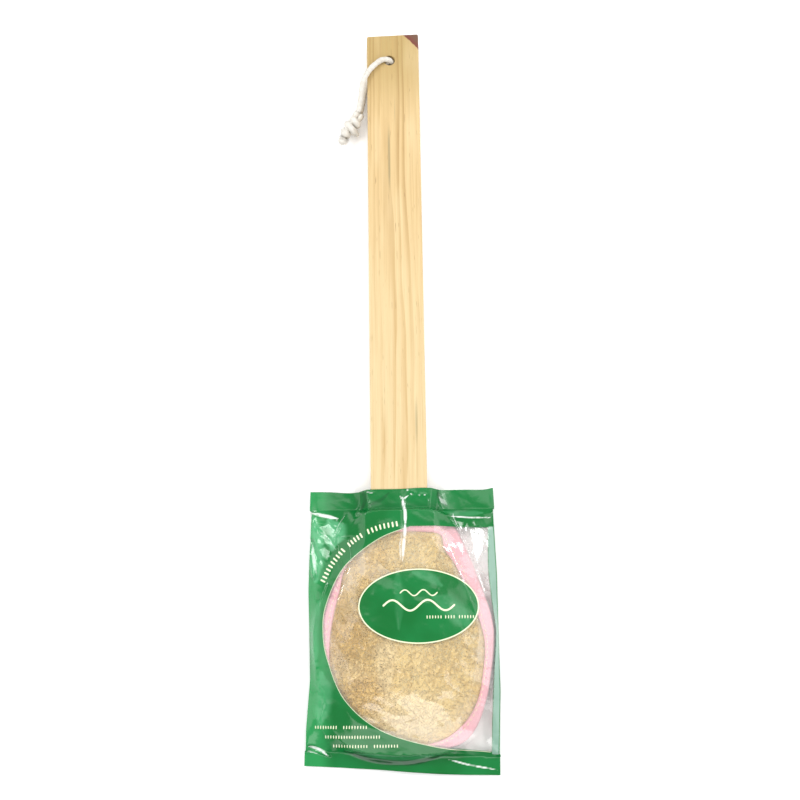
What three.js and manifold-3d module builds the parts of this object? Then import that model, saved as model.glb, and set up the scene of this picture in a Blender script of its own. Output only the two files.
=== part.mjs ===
// Loofah back scrubber: a flat pine handle with a hanging loop, sewn and stapled into an oval pad
// of loofah, foam and cloth, with the heat-sealed film pouch that the head is sold in.
// Millimetres. It lies on its back: X is across, Y runs from the head to the hanging end, Z is up.
import * as THREE from 'three';
import { mergeVertices } from 'three/addons/utils/BufferGeometryUtils.js';
import Module from 'manifold-3d';

const wasm = await Module();
wasm.setup();

// ---- driving dimensions -------------------------------------------------------------------

const GAP = 0.3; // clearance between touching pieces
const TOTAL_LENGTH = 524;
const HEAD_END_Y = -261.3;
const END_Y = HEAD_END_Y + TOTAL_LENGTH;

const HANDLE = { width: 38, thickness: 9, length: 457, underside: 4.6, ease: 0.9, corner: 1.4, skew: 1.4 };
const HANDLE_TOP = HANDLE.underside + HANDLE.thickness;
const HOLE = { x: -2.5, y: 241.3, radius: 4 };

// The pad's rim is a squared oval, narrower towards the handle. It is traced anticlockwise from the neck.
const PAD = { x: 2.5, y: -168.5, radius: 60 };
const PAD_RIM = [
  [2, -93], [-19, -94.5], [-31, -102], [-40, -120.5], [-46.5, -138], [-52.8, -156], [-55.4, -170], [-54.8, -184],
  [-52.5, -198], [-49.5, -212], [-42.5, -230], [-32, -240.5], [-15, -244.6], [2, -245.4], [20, -244.6], [37, -240.5],
  [47.5, -230], [54.5, -212], [57.5, -198], [59.8, -184], [60.4, -170], [57.8, -156], [51.5, -138], [45, -120.5],
  [36, -102], [24, -94.5],
];
const PAD_RIM_TOP = 9.5;
const PAD_CROWN = 22.5;
const NECK_TOP = 19.4;
const PAD_BASE = 1.9;
const PAD_BASE_RISE = 2.2;
const CLOTH = 1.2;
const LOOFAH_MIDDLE = 6;
const LOOFAH_RIM = 3.4;
const RIM_SAMPLES = 400;
const RING_COUNT = 56; // steps round the rim
const CLOTH_SHARE = 0.97; // how much of the way to the rim each layer reaches
const CORE_SHARE = 0.93;
const BINDING_SHARE = 0.87;
const BINDING_WALL_SHARE = 0.982;
const BINDING_THICKNESS = 0.9;
const THREAD = { share: 0.905, width: 0.7, height: 0.4 };
const NECK_Y = -96; // the film comes down to the handle beyond this

const STAPLE = { wire: 0.7, crown: 11, leg: 8.6, y: -112, spread: 9 };

// The pouch lies flat: a top edge, two long edges, and a bottom edge that was sealed a little askew.
const POUCH = {
  topLeft: [-60.4, -76.2], topRight: [64, -74.8], bottomRight: [63, HEAD_END_Y], bottomLeft: [-64, -253.8],
};
const FILM = 0.4;
const SEAL_TOP_SHARE = 0.076; // the seal bands, as shares of the pouch's length
const SEAL_BOTTOM_SHARE = 0.943;
const FILM_EASE = { middle: 1.2, rim: 3.1 }; // the film's height over the pad
const FILM_SIDE_FALL = 3; // how far inside a long edge the film has come down

const CORD_DIAMETER = 4;
const CORD_SIDES = 10;
const CORD_STEPS = 56;
// One cord, from the knot over the handle's edge, down through the hole and back under the handle.
const CORD_ROUTE = [
  [-25.6, 202.2, 9.0], [-24.6, 207.2, 11.0], [-23.8, 212.4, 13.4], [-23.0, 217.6, 15.5],
  [-21.8, 223.0, 16.2], [-19.4, 228.8, 16.2], [-15.8, 234.0, 16.1], [-11.6, 238.2, 15.9],
  [-7.8, 240.6, 15.9], [-4.2, 241.3, 15.0], [-1.7, 241.3, 12.5], [-0.8, 241.3, 9.1],
  [-1.7, 241.3, 5.7], [-4.2, 241.3, 3.2], [-7.6, 240.8, 2.3], [-11.2, 238.8, 2.3],
  [-15.0, 235.0, 2.3], [-18.2, 230.0, 2.3], [-20.4, 224.4, 2.3], [-21.8, 218.6, 2.3],
  [-22.8, 213.0, 2.5], [-23.8, 207.6, 3.3], [-24.8, 202.4, 4.6],
];
const KNOT = { centre: [-30.0, 192.3, 6.6], radii: [5.6, 9.6, 5.6], turn: -35.5 * (Math.PI / 180) };
const TAIL_ROUTES = {
  cord_tail_long: [[-35.9, 184.1, 6.0], [-37.0, 182.5, 5.6], [-38.0, 180.9, 5.1], [-38.8, 179.3, 4.6]],
  cord_tail_short: [[-25.9, 187.4, 3.2], [-25.2, 186.2, 2.9], [-24.6, 184.9, 2.6], [-24.2, 183.6, 2.5]],
};

// ---- shared shape helpers -----------------------------------------------------------------

const clamp01 = (value) => Math.min(1, Math.max(0, value));
const mix = (a, b, share) => a + (b - a) * share;

function bodyFrom(corners, faces) {
  const flat = faces.flatMap((face) => face.flatMap((corner) => corners[corner]));
  const geometry = new THREE.BufferGeometry();
  geometry.setAttribute('position', new THREE.Float32BufferAttribute(flat, 3));
  geometry.computeVertexNormals();
  return geometry;
}

function solidOf(geometry) {
  const bare = geometry.clone();
  bare.deleteAttribute('normal');
  bare.deleteAttribute('uv');
  const merged = mergeVertices(bare, 1e-4);
  const vertProperties = new Float32Array(merged.attributes.position.array);
  const triVerts = new Uint32Array(merged.index.array);
  return new wasm.Manifold(new wasm.Mesh({ numProp: 3, vertProperties, triVerts }));
}

function geometryOf(solid) {
  const { numProp, vertProperties, triVerts } = solid.getMesh();
  const corners = [];
  for (let i = 0; i < vertProperties.length; i += numProp) {
    corners.push([...vertProperties.subarray(i, i + 3)]);
  }
  const faces = [];
  for (let i = 0; i < triVerts.length; i += 3) {
    faces.push([...triVerts.subarray(i, i + 3)]);
  }
  return bodyFrom(corners, faces);
}

function cut(geometry, tools) {
  return geometryOf(tools.reduce((solid, tool) => solid.subtract(solidOf(tool)), solidOf(geometry)));
}

function boxAt([x, y, z], [sizeX, sizeY, sizeZ]) {
  return new THREE.BoxGeometry(sizeX, sizeY, sizeZ).translate(x, y, z);
}

// ---- handle -------------------------------------------------------------------------------

// Plan outline with small corner radii; the hanging end is sawn a little out of square.
function handleOutline() {
  const x = HANDLE.width / 2 - HANDLE.ease;
  const near = END_Y - HANDLE.length + HANDLE.ease;
  const far = END_Y - HANDLE.ease;
  const r = HANDLE.corner - HANDLE.ease;
  const shape = new THREE.Shape();
  shape.moveTo(-x + r, near);
  shape.lineTo(x - r, near);
  shape.quadraticCurveTo(x, near, x, near + r);
  shape.lineTo(x, far - r);
  shape.quadraticCurveTo(x, far, x - r, far);
  shape.lineTo(-x + r, far - HANDLE.skew);
  shape.quadraticCurveTo(-x, far - HANDLE.skew, -x, far - HANDLE.skew - r);
  shape.lineTo(-x, near + r);
  shape.quadraticCurveTo(-x, near, -x + r, near);
  return shape;
}

function handleGeometry() {
  const blank = new THREE.ExtrudeGeometry(handleOutline(), {
    depth: HANDLE.thickness - 2 * HANDLE.ease,
    bevelThickness: HANDLE.ease,
    bevelSize: HANDLE.ease,
    bevelSegments: 2,
    curveSegments: 2,
  });
  blank.translate(0, 0, HANDLE.underside + HANDLE.ease);
  const drill = new THREE.CylinderGeometry(HOLE.radius, HOLE.radius, 3 * HANDLE.thickness, 32);
  drill.rotateX(Math.PI / 2).translate(HOLE.x, HOLE.y, HANDLE.underside);
  return cut(blank, [drill, ...stapleBoxes(-1, GAP), ...stapleBoxes(1, GAP)]);
}

// The space that the handle and its clearance take up inside the pad.
function handleSpace() {
  const height = HANDLE.thickness + 2 * GAP;
  const inner = END_Y - HANDLE.length - GAP;
  const length = HANDLE.length;
  return boxAt([0, inner + length / 2, HANDLE.underside - GAP + height / 2], [HANDLE.width + 2 * GAP, length, height]);
}

// ---- pad layers ---------------------------------------------------------------------------

// The rim's distance from the pad's middle, at an angle about it.
const rimPoints = new THREE.CatmullRomCurve3(PAD_RIM.map(([x, y]) => new THREE.Vector3(x - PAD.x, y - PAD.y)), true)
  .getPoints(RIM_SAMPLES)
  .map(({ x, y }) => ({ angle: Math.atan2(y, x), radius: Math.hypot(x, y) }))
  .sort((a, b) => a.angle - b.angle);

function rimRadius(angle) {
  const wrapped = Math.atan2(Math.sin(angle), Math.cos(angle));
  const next = rimPoints.findIndex((point) => point.angle > wrapped);
  const after = rimPoints[Math.max(next, 0)];
  const before = rimPoints.at(next < 1 ? -1 : next - 1);
  const turn = (from, to) => (to - from + 4 * Math.PI) % (2 * Math.PI);
  return mix(before.radius, after.radius, turn(before.angle, wrapped) / turn(before.angle, after.angle));
}

// A point of the pad's plan at a share of the way from its middle to its rim.
function padPoint(step, share) {
  const angle = (2 * Math.PI * step) / RING_COUNT;
  const radius = share * rimRadius(angle);
  return [PAD.x + radius * Math.cos(angle), PAD.y + radius * Math.sin(angle)];
}

// The share at which a point of the plan lies, the inverse of padPoint.
function padShare(x, y) {
  return Math.hypot(x - PAD.x, y - PAD.y) / rimRadius(Math.atan2(y - PAD.y, x - PAD.x));
}

// 1 over the handle near the neck, falling to 0 beside it and further into the pad.
function neckMask(x, y) {
  return clamp01((34 - Math.abs(x)) / 12) * clamp01((y + 200) / 40);
}

function padTop(x, y, share) {
  const dome = PAD_CROWN - (PAD_CROWN - PAD_RIM_TOP) * share ** 2.6;
  return Math.max(dome, mix(PAD_RIM_TOP, NECK_TOP, neckMask(x, y)));
}

function padBottom(x, y, share) {
  const rise = PAD_BASE_RISE * clamp01((share - 0.7) / 0.3) ** 1.5;
  return PAD_BASE + rise * (1 - neckMask(x, y));
}

// A layer of the pad between two height functions, built as rings round the pad's middle.
function layerGeometry(lastShare, bottom, top) {
  const shares = [0.25, 0.5, 0.7, 0.8, 0.87, 0.93, 0.97].filter((share) => share <= lastShare);
  const corners = [[PAD.x, PAD.y, bottom(PAD.x, PAD.y, 0)], [PAD.x, PAD.y, top(PAD.x, PAD.y, 0)]];
  const indexOf = (ring, step, side) => 2 + 2 * (ring * RING_COUNT + (step % RING_COUNT)) + side;
  for (const share of shares) {
    for (let step = 0; step < RING_COUNT; step++) {
      const [x, y] = padPoint(step, share);
      corners.push([x, y, bottom(x, y, share)], [x, y, top(x, y, share)]);
    }
  }
  const faces = [];
  for (let step = 0; step < RING_COUNT; step++) {
    faces.push([0, indexOf(0, step + 1, 0), indexOf(0, step, 0)]);
    faces.push([1, indexOf(0, step, 1), indexOf(0, step + 1, 1)]);
    for (let ring = 1; ring < shares.length; ring++) {
      const inner = [indexOf(ring - 1, step, 0), indexOf(ring - 1, step + 1, 0)];
      const outer = [indexOf(ring, step, 0), indexOf(ring, step + 1, 0)];
      faces.push([inner[0], inner[1], outer[1]], [inner[0], outer[1], outer[0]]);
      faces.push([inner[0] + 1, outer[1] + 1, inner[1] + 1], [inner[0] + 1, outer[0] + 1, outer[1] + 1]);
    }
    const last = [indexOf(shares.length - 1, step, 0), indexOf(shares.length - 1, step + 1, 0)];
    faces.push([last[0], last[1], last[1] + 1], [last[0], last[1] + 1, last[0] + 1]);
  }
  return bodyFrom(corners, faces);
}

function loofahBottom(x, y, share) {
  return padTop(x, y, share) - mix(LOOFAH_MIDDLE, LOOFAH_RIM, clamp01(share / CORE_SHARE));
}

function loofahGeometry() {
  return cut(layerGeometry(CORE_SHARE, loofahBottom, padTop), [handleSpace()]);
}

function foamGeometry() {
  const bottom = (x, y, share) => padBottom(x, y, share) + CLOTH + GAP;
  const top = (x, y, share) => loofahBottom(x, y, share) - GAP;
  return cut(layerGeometry(CORE_SHARE, bottom, top), [handleSpace(), ...stapleBoxes(-1, GAP), ...stapleBoxes(1, GAP)]);
}

function backingClothGeometry() {
  const top = (x, y, share) => padBottom(x, y, share) + CLOTH;
  const sheet = layerGeometry(CLOTH_SHARE, padBottom, top);
  return cut(sheet, [...stapleBoxes(-1, GAP), ...stapleBoxes(1, GAP)]);
}

// A closed strip round the rim: section(step) gives its [share, height] corners in order.
function rimGeometry(sectionAt) {
  const rings = [];
  for (let step = 0; step < RING_COUNT; step++) {
    rings.push(sectionAt(step).map(([share, height]) => [...padPoint(step, share), height]));
  }
  const count = rings[0].length;
  const faces = [];
  for (let step = 0; step < RING_COUNT; step++) {
    const here = step * count;
    const next = ((step + 1) % RING_COUNT) * count;
    for (let i = 0; i < count; i++) {
      const j = (i + 1) % count;
      faces.push([here + i, next + i, next + j], [here + i, next + j, here + j]);
    }
  }
  return bodyFrom(rings.flat(), faces);
}

function bindingSection(step) {
  const over = (share) => padTop(...padPoint(step, share), share) + GAP;
  const under = (share) => padBottom(...padPoint(step, share), share) - GAP;
  const inner = BINDING_SHARE;
  const thick = BINDING_THICKNESS;
  return [
    [inner, over(inner)], [CORE_SHARE, over(CORE_SHARE)], [BINDING_WALL_SHARE, over(CORE_SHARE) - 0.4],
    [BINDING_WALL_SHARE, under(CLOTH_SHARE)], [CORE_SHARE, under(CORE_SHARE)], [inner, under(inner)],
    [inner, under(inner) - thick], [CORE_SHARE, under(CORE_SHARE) - thick], [1, under(CLOTH_SHARE) - thick / 2],
    [1, over(CORE_SHARE) - 0.4], [CORE_SHARE, over(CORE_SHARE) + thick], [inner, over(inner) + thick],
  ];
}

// The binding wraps the rim; its outer wall is open where the handle goes in.
function bindingGeometry() {
  return cut(rimGeometry(bindingSection), [handleSpace()]);
}

function threadGeometry() {
  const half = THREAD.width / 2 / PAD.radius;
  return rimGeometry((step) => {
    const top = (share) => {
      const inner = padTop(...padPoint(step, BINDING_SHARE), BINDING_SHARE);
      const outer = padTop(...padPoint(step, CORE_SHARE), CORE_SHARE);
      return mix(inner, outer, (share - BINDING_SHARE) / (CORE_SHARE - BINDING_SHARE)) + BINDING_THICKNESS + 3 * GAP;
    };
    const [inside, outside] = [THREAD.share - half, THREAD.share + half];
    return [
      [inside, top(inside)], [inside, top(inside) + THREAD.height],
      [outside, top(outside) + THREAD.height], [outside, top(outside)],
    ].reverse();
  });
}

// ---- staples: driven through the backing cloth into the handle's underside -----------------

function stapleBoxes(side, grow) {
  const thick = STAPLE.wire + 2 * grow;
  const x = side * STAPLE.spread;
  const crownZ = PAD_BASE - GAP - STAPLE.wire / 2;
  const legZ = crownZ - STAPLE.wire / 2 + STAPLE.leg / 2;
  const reach = (STAPLE.crown - STAPLE.wire) / 2;
  const parts = [boxAt([x, STAPLE.y, crownZ], [STAPLE.crown + 2 * grow, thick, thick])];
  for (const end of [-1, 1]) {
    parts.push(boxAt([x + end * reach, STAPLE.y, legZ], [thick, thick, STAPLE.leg + 2 * grow]));
  }
  return parts;
}

function stapleGeometry(side) {
  const [crown, ...legs] = stapleBoxes(side, 0).map(solidOf);
  return geometryOf(legs.reduce((staple, leg) => staple.add(leg), crown));
}

// ---- pouch films --------------------------------------------------------------------------

// Numbers from 0 to 1 through the given stops, with counts of steps between them.
function spread(stops, counts) {
  const values = [stops[0]];
  counts.forEach((count, i) => {
    for (let step = 1; step <= count; step++) {
      values.push(mix(stops[i], stops[i + 1], step / count));
    }
  });
  return values;
}

function pouchPoint(across, along) {
  const at = (a, b) => [mix(a[0], b[0], along), mix(a[1], b[1], along)];
  const left = at(POUCH.topLeft, POUCH.bottomLeft);
  const right = at(POUCH.topRight, POUCH.bottomRight);
  return [mix(left[0], right[0], across), mix(left[1], right[1], across)];
}

// Height of the front film's underside: over the pad, over the handle at the neck, flat at the seals.
function filmHeight(across, along) {
  const seal = FILM + GAP;
  const [x, y] = pouchPoint(across, along);
  const width = POUCH.topRight[0] - POUCH.topLeft[0];
  const fromSide = Math.min(across, 1 - across) * width;
  const side = clamp01(fromSide / FILM_SIDE_FALL);
  const inside = along > SEAL_TOP_SHARE && along < SEAL_BOTTOM_SHARE ? 1 : 0;
  const share = padShare(x, y);
  const dome = padTop(x, y, share) + mix(FILM_EASE.middle, FILM_EASE.rim, clamp01((share - 0.7) / 0.12));
  const neck = (HANDLE_TOP + 2 * GAP - seal) * clamp01((27.5 - Math.abs(x)) / 5);
  const nearNeck = y > NECK_Y ? 1 : 0;
  const overPad = share < 1.06 || !nearNeck ? 1 : 0;
  return seal + Math.max((dome - seal) * side * inside * overPad, neck * nearNeck, 0);
}

function sheetGeometry(columns, rows, lower, upper) {
  const corners = [];
  for (const along of rows) {
    for (const across of columns) {
      const [x, y] = pouchPoint(across, along);
      corners.push([x, y, lower(across, along)], [x, y, upper(across, along)]);
    }
  }
  const at = (i, j, side) => 2 * (j * columns.length + i) + side;
  const faces = [];
  const quad = (a, b, c, d) => faces.push([a, b, c], [a, c, d]);
  const lastI = columns.length - 1;
  const lastJ = rows.length - 1;
  for (let j = 0; j < lastJ; j++) {
    for (let i = 0; i < lastI; i++) {
      quad(at(i, j, 0), at(i + 1, j, 0), at(i + 1, j + 1, 0), at(i, j + 1, 0));
      quad(at(i, j, 1), at(i, j + 1, 1), at(i + 1, j + 1, 1), at(i + 1, j, 1));
    }
    quad(at(0, j, 0), at(0, j + 1, 0), at(0, j + 1, 1), at(0, j, 1));
    quad(at(lastI, j, 0), at(lastI, j, 1), at(lastI, j + 1, 1), at(lastI, j + 1, 0));
  }
  for (let i = 0; i < lastI; i++) {
    quad(at(i, 0, 0), at(i, 0, 1), at(i + 1, 0, 1), at(i + 1, 0, 0));
    quad(at(i, lastJ, 0), at(i + 1, lastJ, 0), at(i + 1, lastJ, 1), at(i, lastJ, 1));
  }
  return bodyFrom(corners, faces);
}

function frontFilmGeometry() {
  const columns = spread([0, 0.024, 0.28, 0.32, 0.66, 0.7, 0.976, 1], [1, 6, 1, 6, 1, 6, 1]);
  const rows = spread([0, SEAL_TOP_SHARE, 0.09, 0.14, 0.86, 0.935, SEAL_BOTTOM_SHARE, 1], [1, 1, 2, 14, 3, 1, 1]);
  return sheetGeometry(columns, rows, filmHeight, (across, along) => filmHeight(across, along) + FILM);
}

function backFilmGeometry() {
  return sheetGeometry([0, 1], [0, 1], () => 0, () => FILM);
}

// ---- hanging cord -------------------------------------------------------------------------

function tubeGeometry(route, steps) {
  const section = new THREE.Shape();
  for (let side = 0; side < CORD_SIDES; side++) {
    const angle = (2 * Math.PI * side) / CORD_SIDES;
    const point = [(CORD_DIAMETER / 2) * Math.cos(angle), (CORD_DIAMETER / 2) * Math.sin(angle)];
    if (side === 0) {
      section.moveTo(...point);
    } else {
      section.lineTo(...point);
    }
  }
  section.closePath();
  const extrudePath = new THREE.CatmullRomCurve3(route.map((point) => new THREE.Vector3(...point)), false, 'centripetal');
  return new THREE.ExtrudeGeometry(section, { steps, extrudePath, bevelEnabled: false });
}

function knotGeometry() {
  return new THREE.SphereGeometry(1, 16, 12).scale(...KNOT.radii).rotateZ(KNOT.turn).translate(...KNOT.centre);
}

// ---- assembly -----------------------------------------------------------------------------

const FINISHES = {
  pine: { color: 0xe6cf9c, roughness: 0.55, metalness: 0 },
  loofah: { color: 0xdfc898, roughness: 0.95, metalness: 0 },
  foam: { color: 0xf0e8c8, roughness: 0.95, metalness: 0 },
  pink_cloth: { color: 0xf3d0d7, roughness: 0.85, metalness: 0 },
  thread: { color: 0xf3e2c6, roughness: 0.8, metalness: 0 },
  steel: { color: 0xb4b6b8, roughness: 0.35, metalness: 1 },
  green_film: { color: 0x238947, roughness: 0.2, metalness: 0 },
  cotton: { color: 0xe6ddcf, roughness: 0.95, metalness: 0 },
};

const scrubber = new THREE.Group();

function addPiece(name, geometry, finish) {
  const mesh = new THREE.Mesh(geometry, new THREE.MeshStandardMaterial(FINISHES[finish]));
  mesh.name = name;
  scrubber.add(mesh);
}

addPiece('wooden_handle', handleGeometry(), 'pine');
addPiece('loofah_face', loofahGeometry(), 'loofah');
addPiece('foam_core', foamGeometry(), 'foam');
addPiece('backing_cloth', backingClothGeometry(), 'pink_cloth');
addPiece('edge_binding', bindingGeometry(), 'pink_cloth');
addPiece('binding_thread', threadGeometry(), 'thread');
addPiece('neck_staple_left', stapleGeometry(-1), 'steel');
addPiece('neck_staple_right', stapleGeometry(1), 'steel');
addPiece('pouch_front_film', frontFilmGeometry(), 'green_film');
addPiece('pouch_back_film', backFilmGeometry(), 'green_film');
addPiece('hang_cord', tubeGeometry(CORD_ROUTE, CORD_STEPS), 'cotton');
addPiece('hang_cord_knot', knotGeometry(), 'cotton');
for (const [name, route] of Object.entries(TAIL_ROUTES)) {
  addPiece(name, tubeGeometry(route, 6), 'cotton');
}

export default scrubber;
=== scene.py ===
"""Looks of a loofah back scrubber in its film pouch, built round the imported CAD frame.

The frame is in metres: X is across, +Y runs towards the hanging end, Z is up. Shapes are worked out
in millimetres, because the pieces are thin, and new_mesh() turns them into metres.
"""
import math

import bpy
import numpy as np
from mathutils import Matrix, Vector


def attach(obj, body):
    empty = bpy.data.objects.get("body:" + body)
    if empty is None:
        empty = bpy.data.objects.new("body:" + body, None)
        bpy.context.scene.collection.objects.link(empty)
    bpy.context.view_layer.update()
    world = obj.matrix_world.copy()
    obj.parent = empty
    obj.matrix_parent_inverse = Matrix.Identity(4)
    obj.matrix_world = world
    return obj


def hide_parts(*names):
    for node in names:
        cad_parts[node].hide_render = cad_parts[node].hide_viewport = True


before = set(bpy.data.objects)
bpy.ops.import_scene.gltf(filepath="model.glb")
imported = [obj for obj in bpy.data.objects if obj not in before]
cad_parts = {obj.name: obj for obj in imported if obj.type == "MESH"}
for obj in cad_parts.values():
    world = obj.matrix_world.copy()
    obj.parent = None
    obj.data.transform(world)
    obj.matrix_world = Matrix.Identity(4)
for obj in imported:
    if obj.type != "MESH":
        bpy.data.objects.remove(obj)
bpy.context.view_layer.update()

MM = 0.001
FULL_TURN = 2 * math.pi

# ---- driving dimensions, in millimetres ---------------------------------------------------------

CAMERA = {"aim": (1.55, -11.97, 0), "elevation": 77, "distance": 765.5, "roll": -0.86, "lens": 49.5}

HANDLE = {"half_width": 19, "top": 13.6, "underside": 4.6, "far_end": 262.7}
# The space inside the pad that is kept clear for the handle: half its width, and its inner end.
CHANNEL = {"half_width": 21, "end": -198}
KNOT_CORNER = {"along_end": 11.6, "down_side": 12.6}

# The pad's rim, and the edge of the loofah that shows inside the binding.
PAD_MIDDLE = (2.5, -168.5)
PAD_RIM = [
    (2, -93), (24, -94.5), (36, -102), (45, -120.5), (51.5, -138), (57.8, -156), (60.4, -170), (59.8, -184),
    (57.5, -198), (54.5, -212), (47.5, -230), (37, -240.5), (20, -244.6), (2, -245.4), (-15, -244.6),
    (-32, -240.5), (-42.5, -230), (-49.5, -212), (-52.5, -198), (-54.8, -184), (-55.4, -170), (-52.8, -156),
    (-46.5, -138), (-40, -120.5), (-31, -102), (-19, -94.5),
]
LOOFAH_EDGE = [
    (3, -105.5), (15, -105.8), (25.3, -106.9), (28.2, -110), (29.6, -117.4), (36.6, -128), (44, -146),
    (51.5, -164.8), (54.3, -178.7), (53.1, -193.7), (50.2, -209.2), (45.4, -220.2), (38.9, -228.6),
    (30, -235.8), (21, -239.6), (10.9, -241.2), (-2, -241), (-16, -238), (-29, -230), (-38, -219),
    (-43.5, -206), (-46.5, -190), (-46.2, -173.5), (-43.5, -157), (-39.7, -142.3), (-36.8, -130), (-27, -114),
    (-19, -107),
]
CROWN = 22.5
RIM_TOP = 9.5
NECK_TOP = 19.4
BASE = 1.9
LOOFAH_THICKNESS = 5
SPLIT = {"side": 5.8, "over_handle": 14.4, "under_handle": 4.2}
BINDING = {"lift": 0.9, "roll": 2.4, "wall": 0.9, "flat_share": 0.66}
STITCH = {"pitch": 3.4, "length": 2.3, "radius": 0.32, "inset": 0.34}

# The pouch lies flat; its bottom was sealed a little askew.
POUCH_LEFT = [
    (-75.9, -60.4), (-89.0, -60.7), (-89.8, -59.2), (-120, -60.6), (-142, -61.3), (-200, -60.0),
    (-231, -62.4), (-243.6, -62.5), (-244.6, -63.5), (-253.7, -63.7),
]
POUCH_RIGHT = [
    (-74.6, 64.0), (-89.2, 64.3), (-90.0, 63.1), (-134, 64.5), (-208, 64.2), (-247.5, 62.2), (-248.6, 62.9),
    (-261.3, 62.6),
]
POUCH_TOP = [
    (-60.4, -75.9), (-47, -76.4), (-33, -77.4), (-20, -76.5), (0, -76.4), (15, -75.8), (29, -76.2),
    (45, -75.8), (57, -75.9), (64, -74.6),
]
POUCH_BOTTOM = [(-63.7, -253.7), (-16.9, -256.6), (25, -259.9), (62.6, -261.2)]
POUCH_MIDDLE_Y = -168
TOP_BAND_EDGE = -89.6
BOTTOM_BAND_EDGE = ((-64, 64), (-244.6, -249.8))
FILM_ABOVE_HANDLE = 0.45
FILM_COLUMNS = 209
FILM_ROWS = 305

CORD_DIAMETER = 4
CORD_ROUTE = [
    (-25.6, 202.2, 9.0), (-24.6, 207.2, 11.0), (-23.8, 212.4, 13.4), (-23.0, 217.6, 15.5),
    (-21.8, 223.0, 16.2), (-19.4, 228.8, 16.2), (-15.8, 234.0, 16.1), (-11.6, 238.2, 15.9),
    (-7.8, 240.6, 15.9), (-4.2, 241.3, 15.0), (-1.7, 241.3, 12.5), (-0.8, 241.3, 9.1),
    (-1.7, 241.3, 5.7), (-4.2, 241.3, 3.2), (-7.6, 240.8, 2.3), (-11.2, 238.8, 2.3),
    (-15.0, 235.0, 2.3), (-18.2, 230.0, 2.3), (-20.4, 224.4, 2.3), (-21.8, 218.6, 2.3),
    (-22.8, 213.0, 2.5), (-23.8, 207.6, 3.3), (-24.8, 202.4, 4.6),
]
TAIL_ROUTES = {
    "cord_tail_long": [(-35.9, 184.1, 6.0), (-37.0, 182.5, 5.6), (-38.0, 180.9, 5.1), (-38.8, 179.3, 4.6)],
    "cord_tail_short": [(-29.2, 189.0, 4.6), (-28.0, 188.1, 4.0), (-26.9, 187.3, 3.4), (-25.9, 186.6, 3.0)],
}

BRAID = {"plaits": 5, "pitch": 6.5, "relief": 0.045}
# Each tuft's width, its count of hairs and how many of them are long wisps.
TUFTS = {"cord_tail_long": (7.2, 460, 7), "cord_tail_short": (4.4, 180, 3)}

# Area lights, in metres and watts: name, place, aim, size and power.
LIGHTS = [
    ("strip_left", (-0.62, 0.42, 0.75), (-0.62, 0.42, 0), (0.16, 0.56), 4.4),
    ("strip_right", (0.64, 0.42, 0.75), (0.64, 0.42, 0), (0.16, 0.56), 4.4),
    ("overhead", (0.0, 0.45, 1.1), (0, 0, 0), (1.0, 0.6), 3.5),
    ("front", (0.0, -0.80, 0.85), (0, -0.17, 0), (1.2, 0.5), 5.0),
    ("panel_left", (-1.05, -0.1, 0.65), (0, -0.05, 0), (0.7, 1.4), 4.6),
    ("panel_right", (1.05, -0.1, 0.65), (0, -0.05, 0), (0.7, 1.4), 6.0),
]

# Streaks in the wood, in metres: middle x, lower and upper y, half width and strength.
WOOD_STREAKS = [
    (-0.0031, 0.134, 0.194, 0.0012, 0.6), (0.0125, -0.052, -0.008, 0.0013, 0.42),
    (0.0012, 0.186, 0.215, 0.0006, 0.4),
]
# Soft areas of the loofah's colour, in metres: middle x and y, half width and length, strength, colour.
LOOFAH_AREAS = [
    (-0.036, -0.174, 0.016, 0.018, 0.45, (222, 184, 112)),
    (-0.026, -0.210, 0.016, 0.014, 0.5, (214, 176, 108)),
    (0.036, -0.196, 0.018, 0.024, 0.25, (230, 200, 132)),
    (-0.010, -0.188, 0.007, 0.022, 0.6, (250, 232, 188)),
    (-0.032, -0.194, 0.012, 0.008, 0.4, (244, 222, 176)),
    (0.002, -0.222, 0.026, 0.015, 0.5, (246, 228, 184)),
]

# ---- small helpers ------------------------------------------------------------------------------


def clamp(value, low=0.0, high=1.0):
    return np.minimum(np.maximum(value, low), high)


def mix(a, b, share):
    return a + (b - a) * share


def smooth(low, high, value):
    share = clamp((value - low) / (high - low))
    return share * share * (3 - 2 * share)


def unit(vector):
    return vector / np.linalg.norm(vector)


def grid_points(x, y, z):
    return np.stack([x, y, z], 2).reshape(-1, 3)


def ring_points(centre, girth, wide, deep, sides=3):
    """Points round a centre, in the plane of two directions."""
    turns = [FULL_TURN * k / sides for k in range(sides)]
    return [centre + girth * (wide * math.cos(turn) + deep * math.sin(turn)) for turn in turns]


def curve_through(points, closed=False, per_span=12):
    """Points on a Catmull-Rom curve through the given points."""
    points = np.array(points, float)
    if closed:
        padded = np.vstack([points[-1], points, points[0], points[1]])
    else:
        padded = np.vstack([2 * points[0] - points[1], points, 2 * points[-1] - points[-2]])
    t = np.arange(per_span)[:, None] / per_span
    spans = []
    for a, b, c, d in zip(padded, padded[1:], padded[2:], padded[3:]):
        square = (2 * a - 5 * b + 4 * c - d) * t ** 2
        cube = (3 * b - a - 3 * c + d) * t ** 3
        spans.append(0.5 * (2 * b + (c - a) * t + square + cube))
    if not closed:
        spans.append(points[-1:])
    return np.vstack(spans)


def lattice_noise(x, y, cell, seed):
    """Smooth noise from -1 to 1 over the plane, with bumps about one cell across."""
    table = np.random.default_rng(seed).uniform(-1, 1, (128, 128))
    u = np.asarray(x) / cell
    v = np.asarray(y) / cell
    i = np.floor(u).astype(int)
    j = np.floor(v).astype(int)
    fu = smooth(0, 1, u - i)
    fv = smooth(0, 1, v - j)
    corner = [[table[(i + a) % 128, (j + b) % 128] for b in (0, 1)] for a in (0, 1)]
    return mix(mix(corner[0][0], corner[1][0], fu), mix(corner[0][1], corner[1][1], fu), fv)


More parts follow.
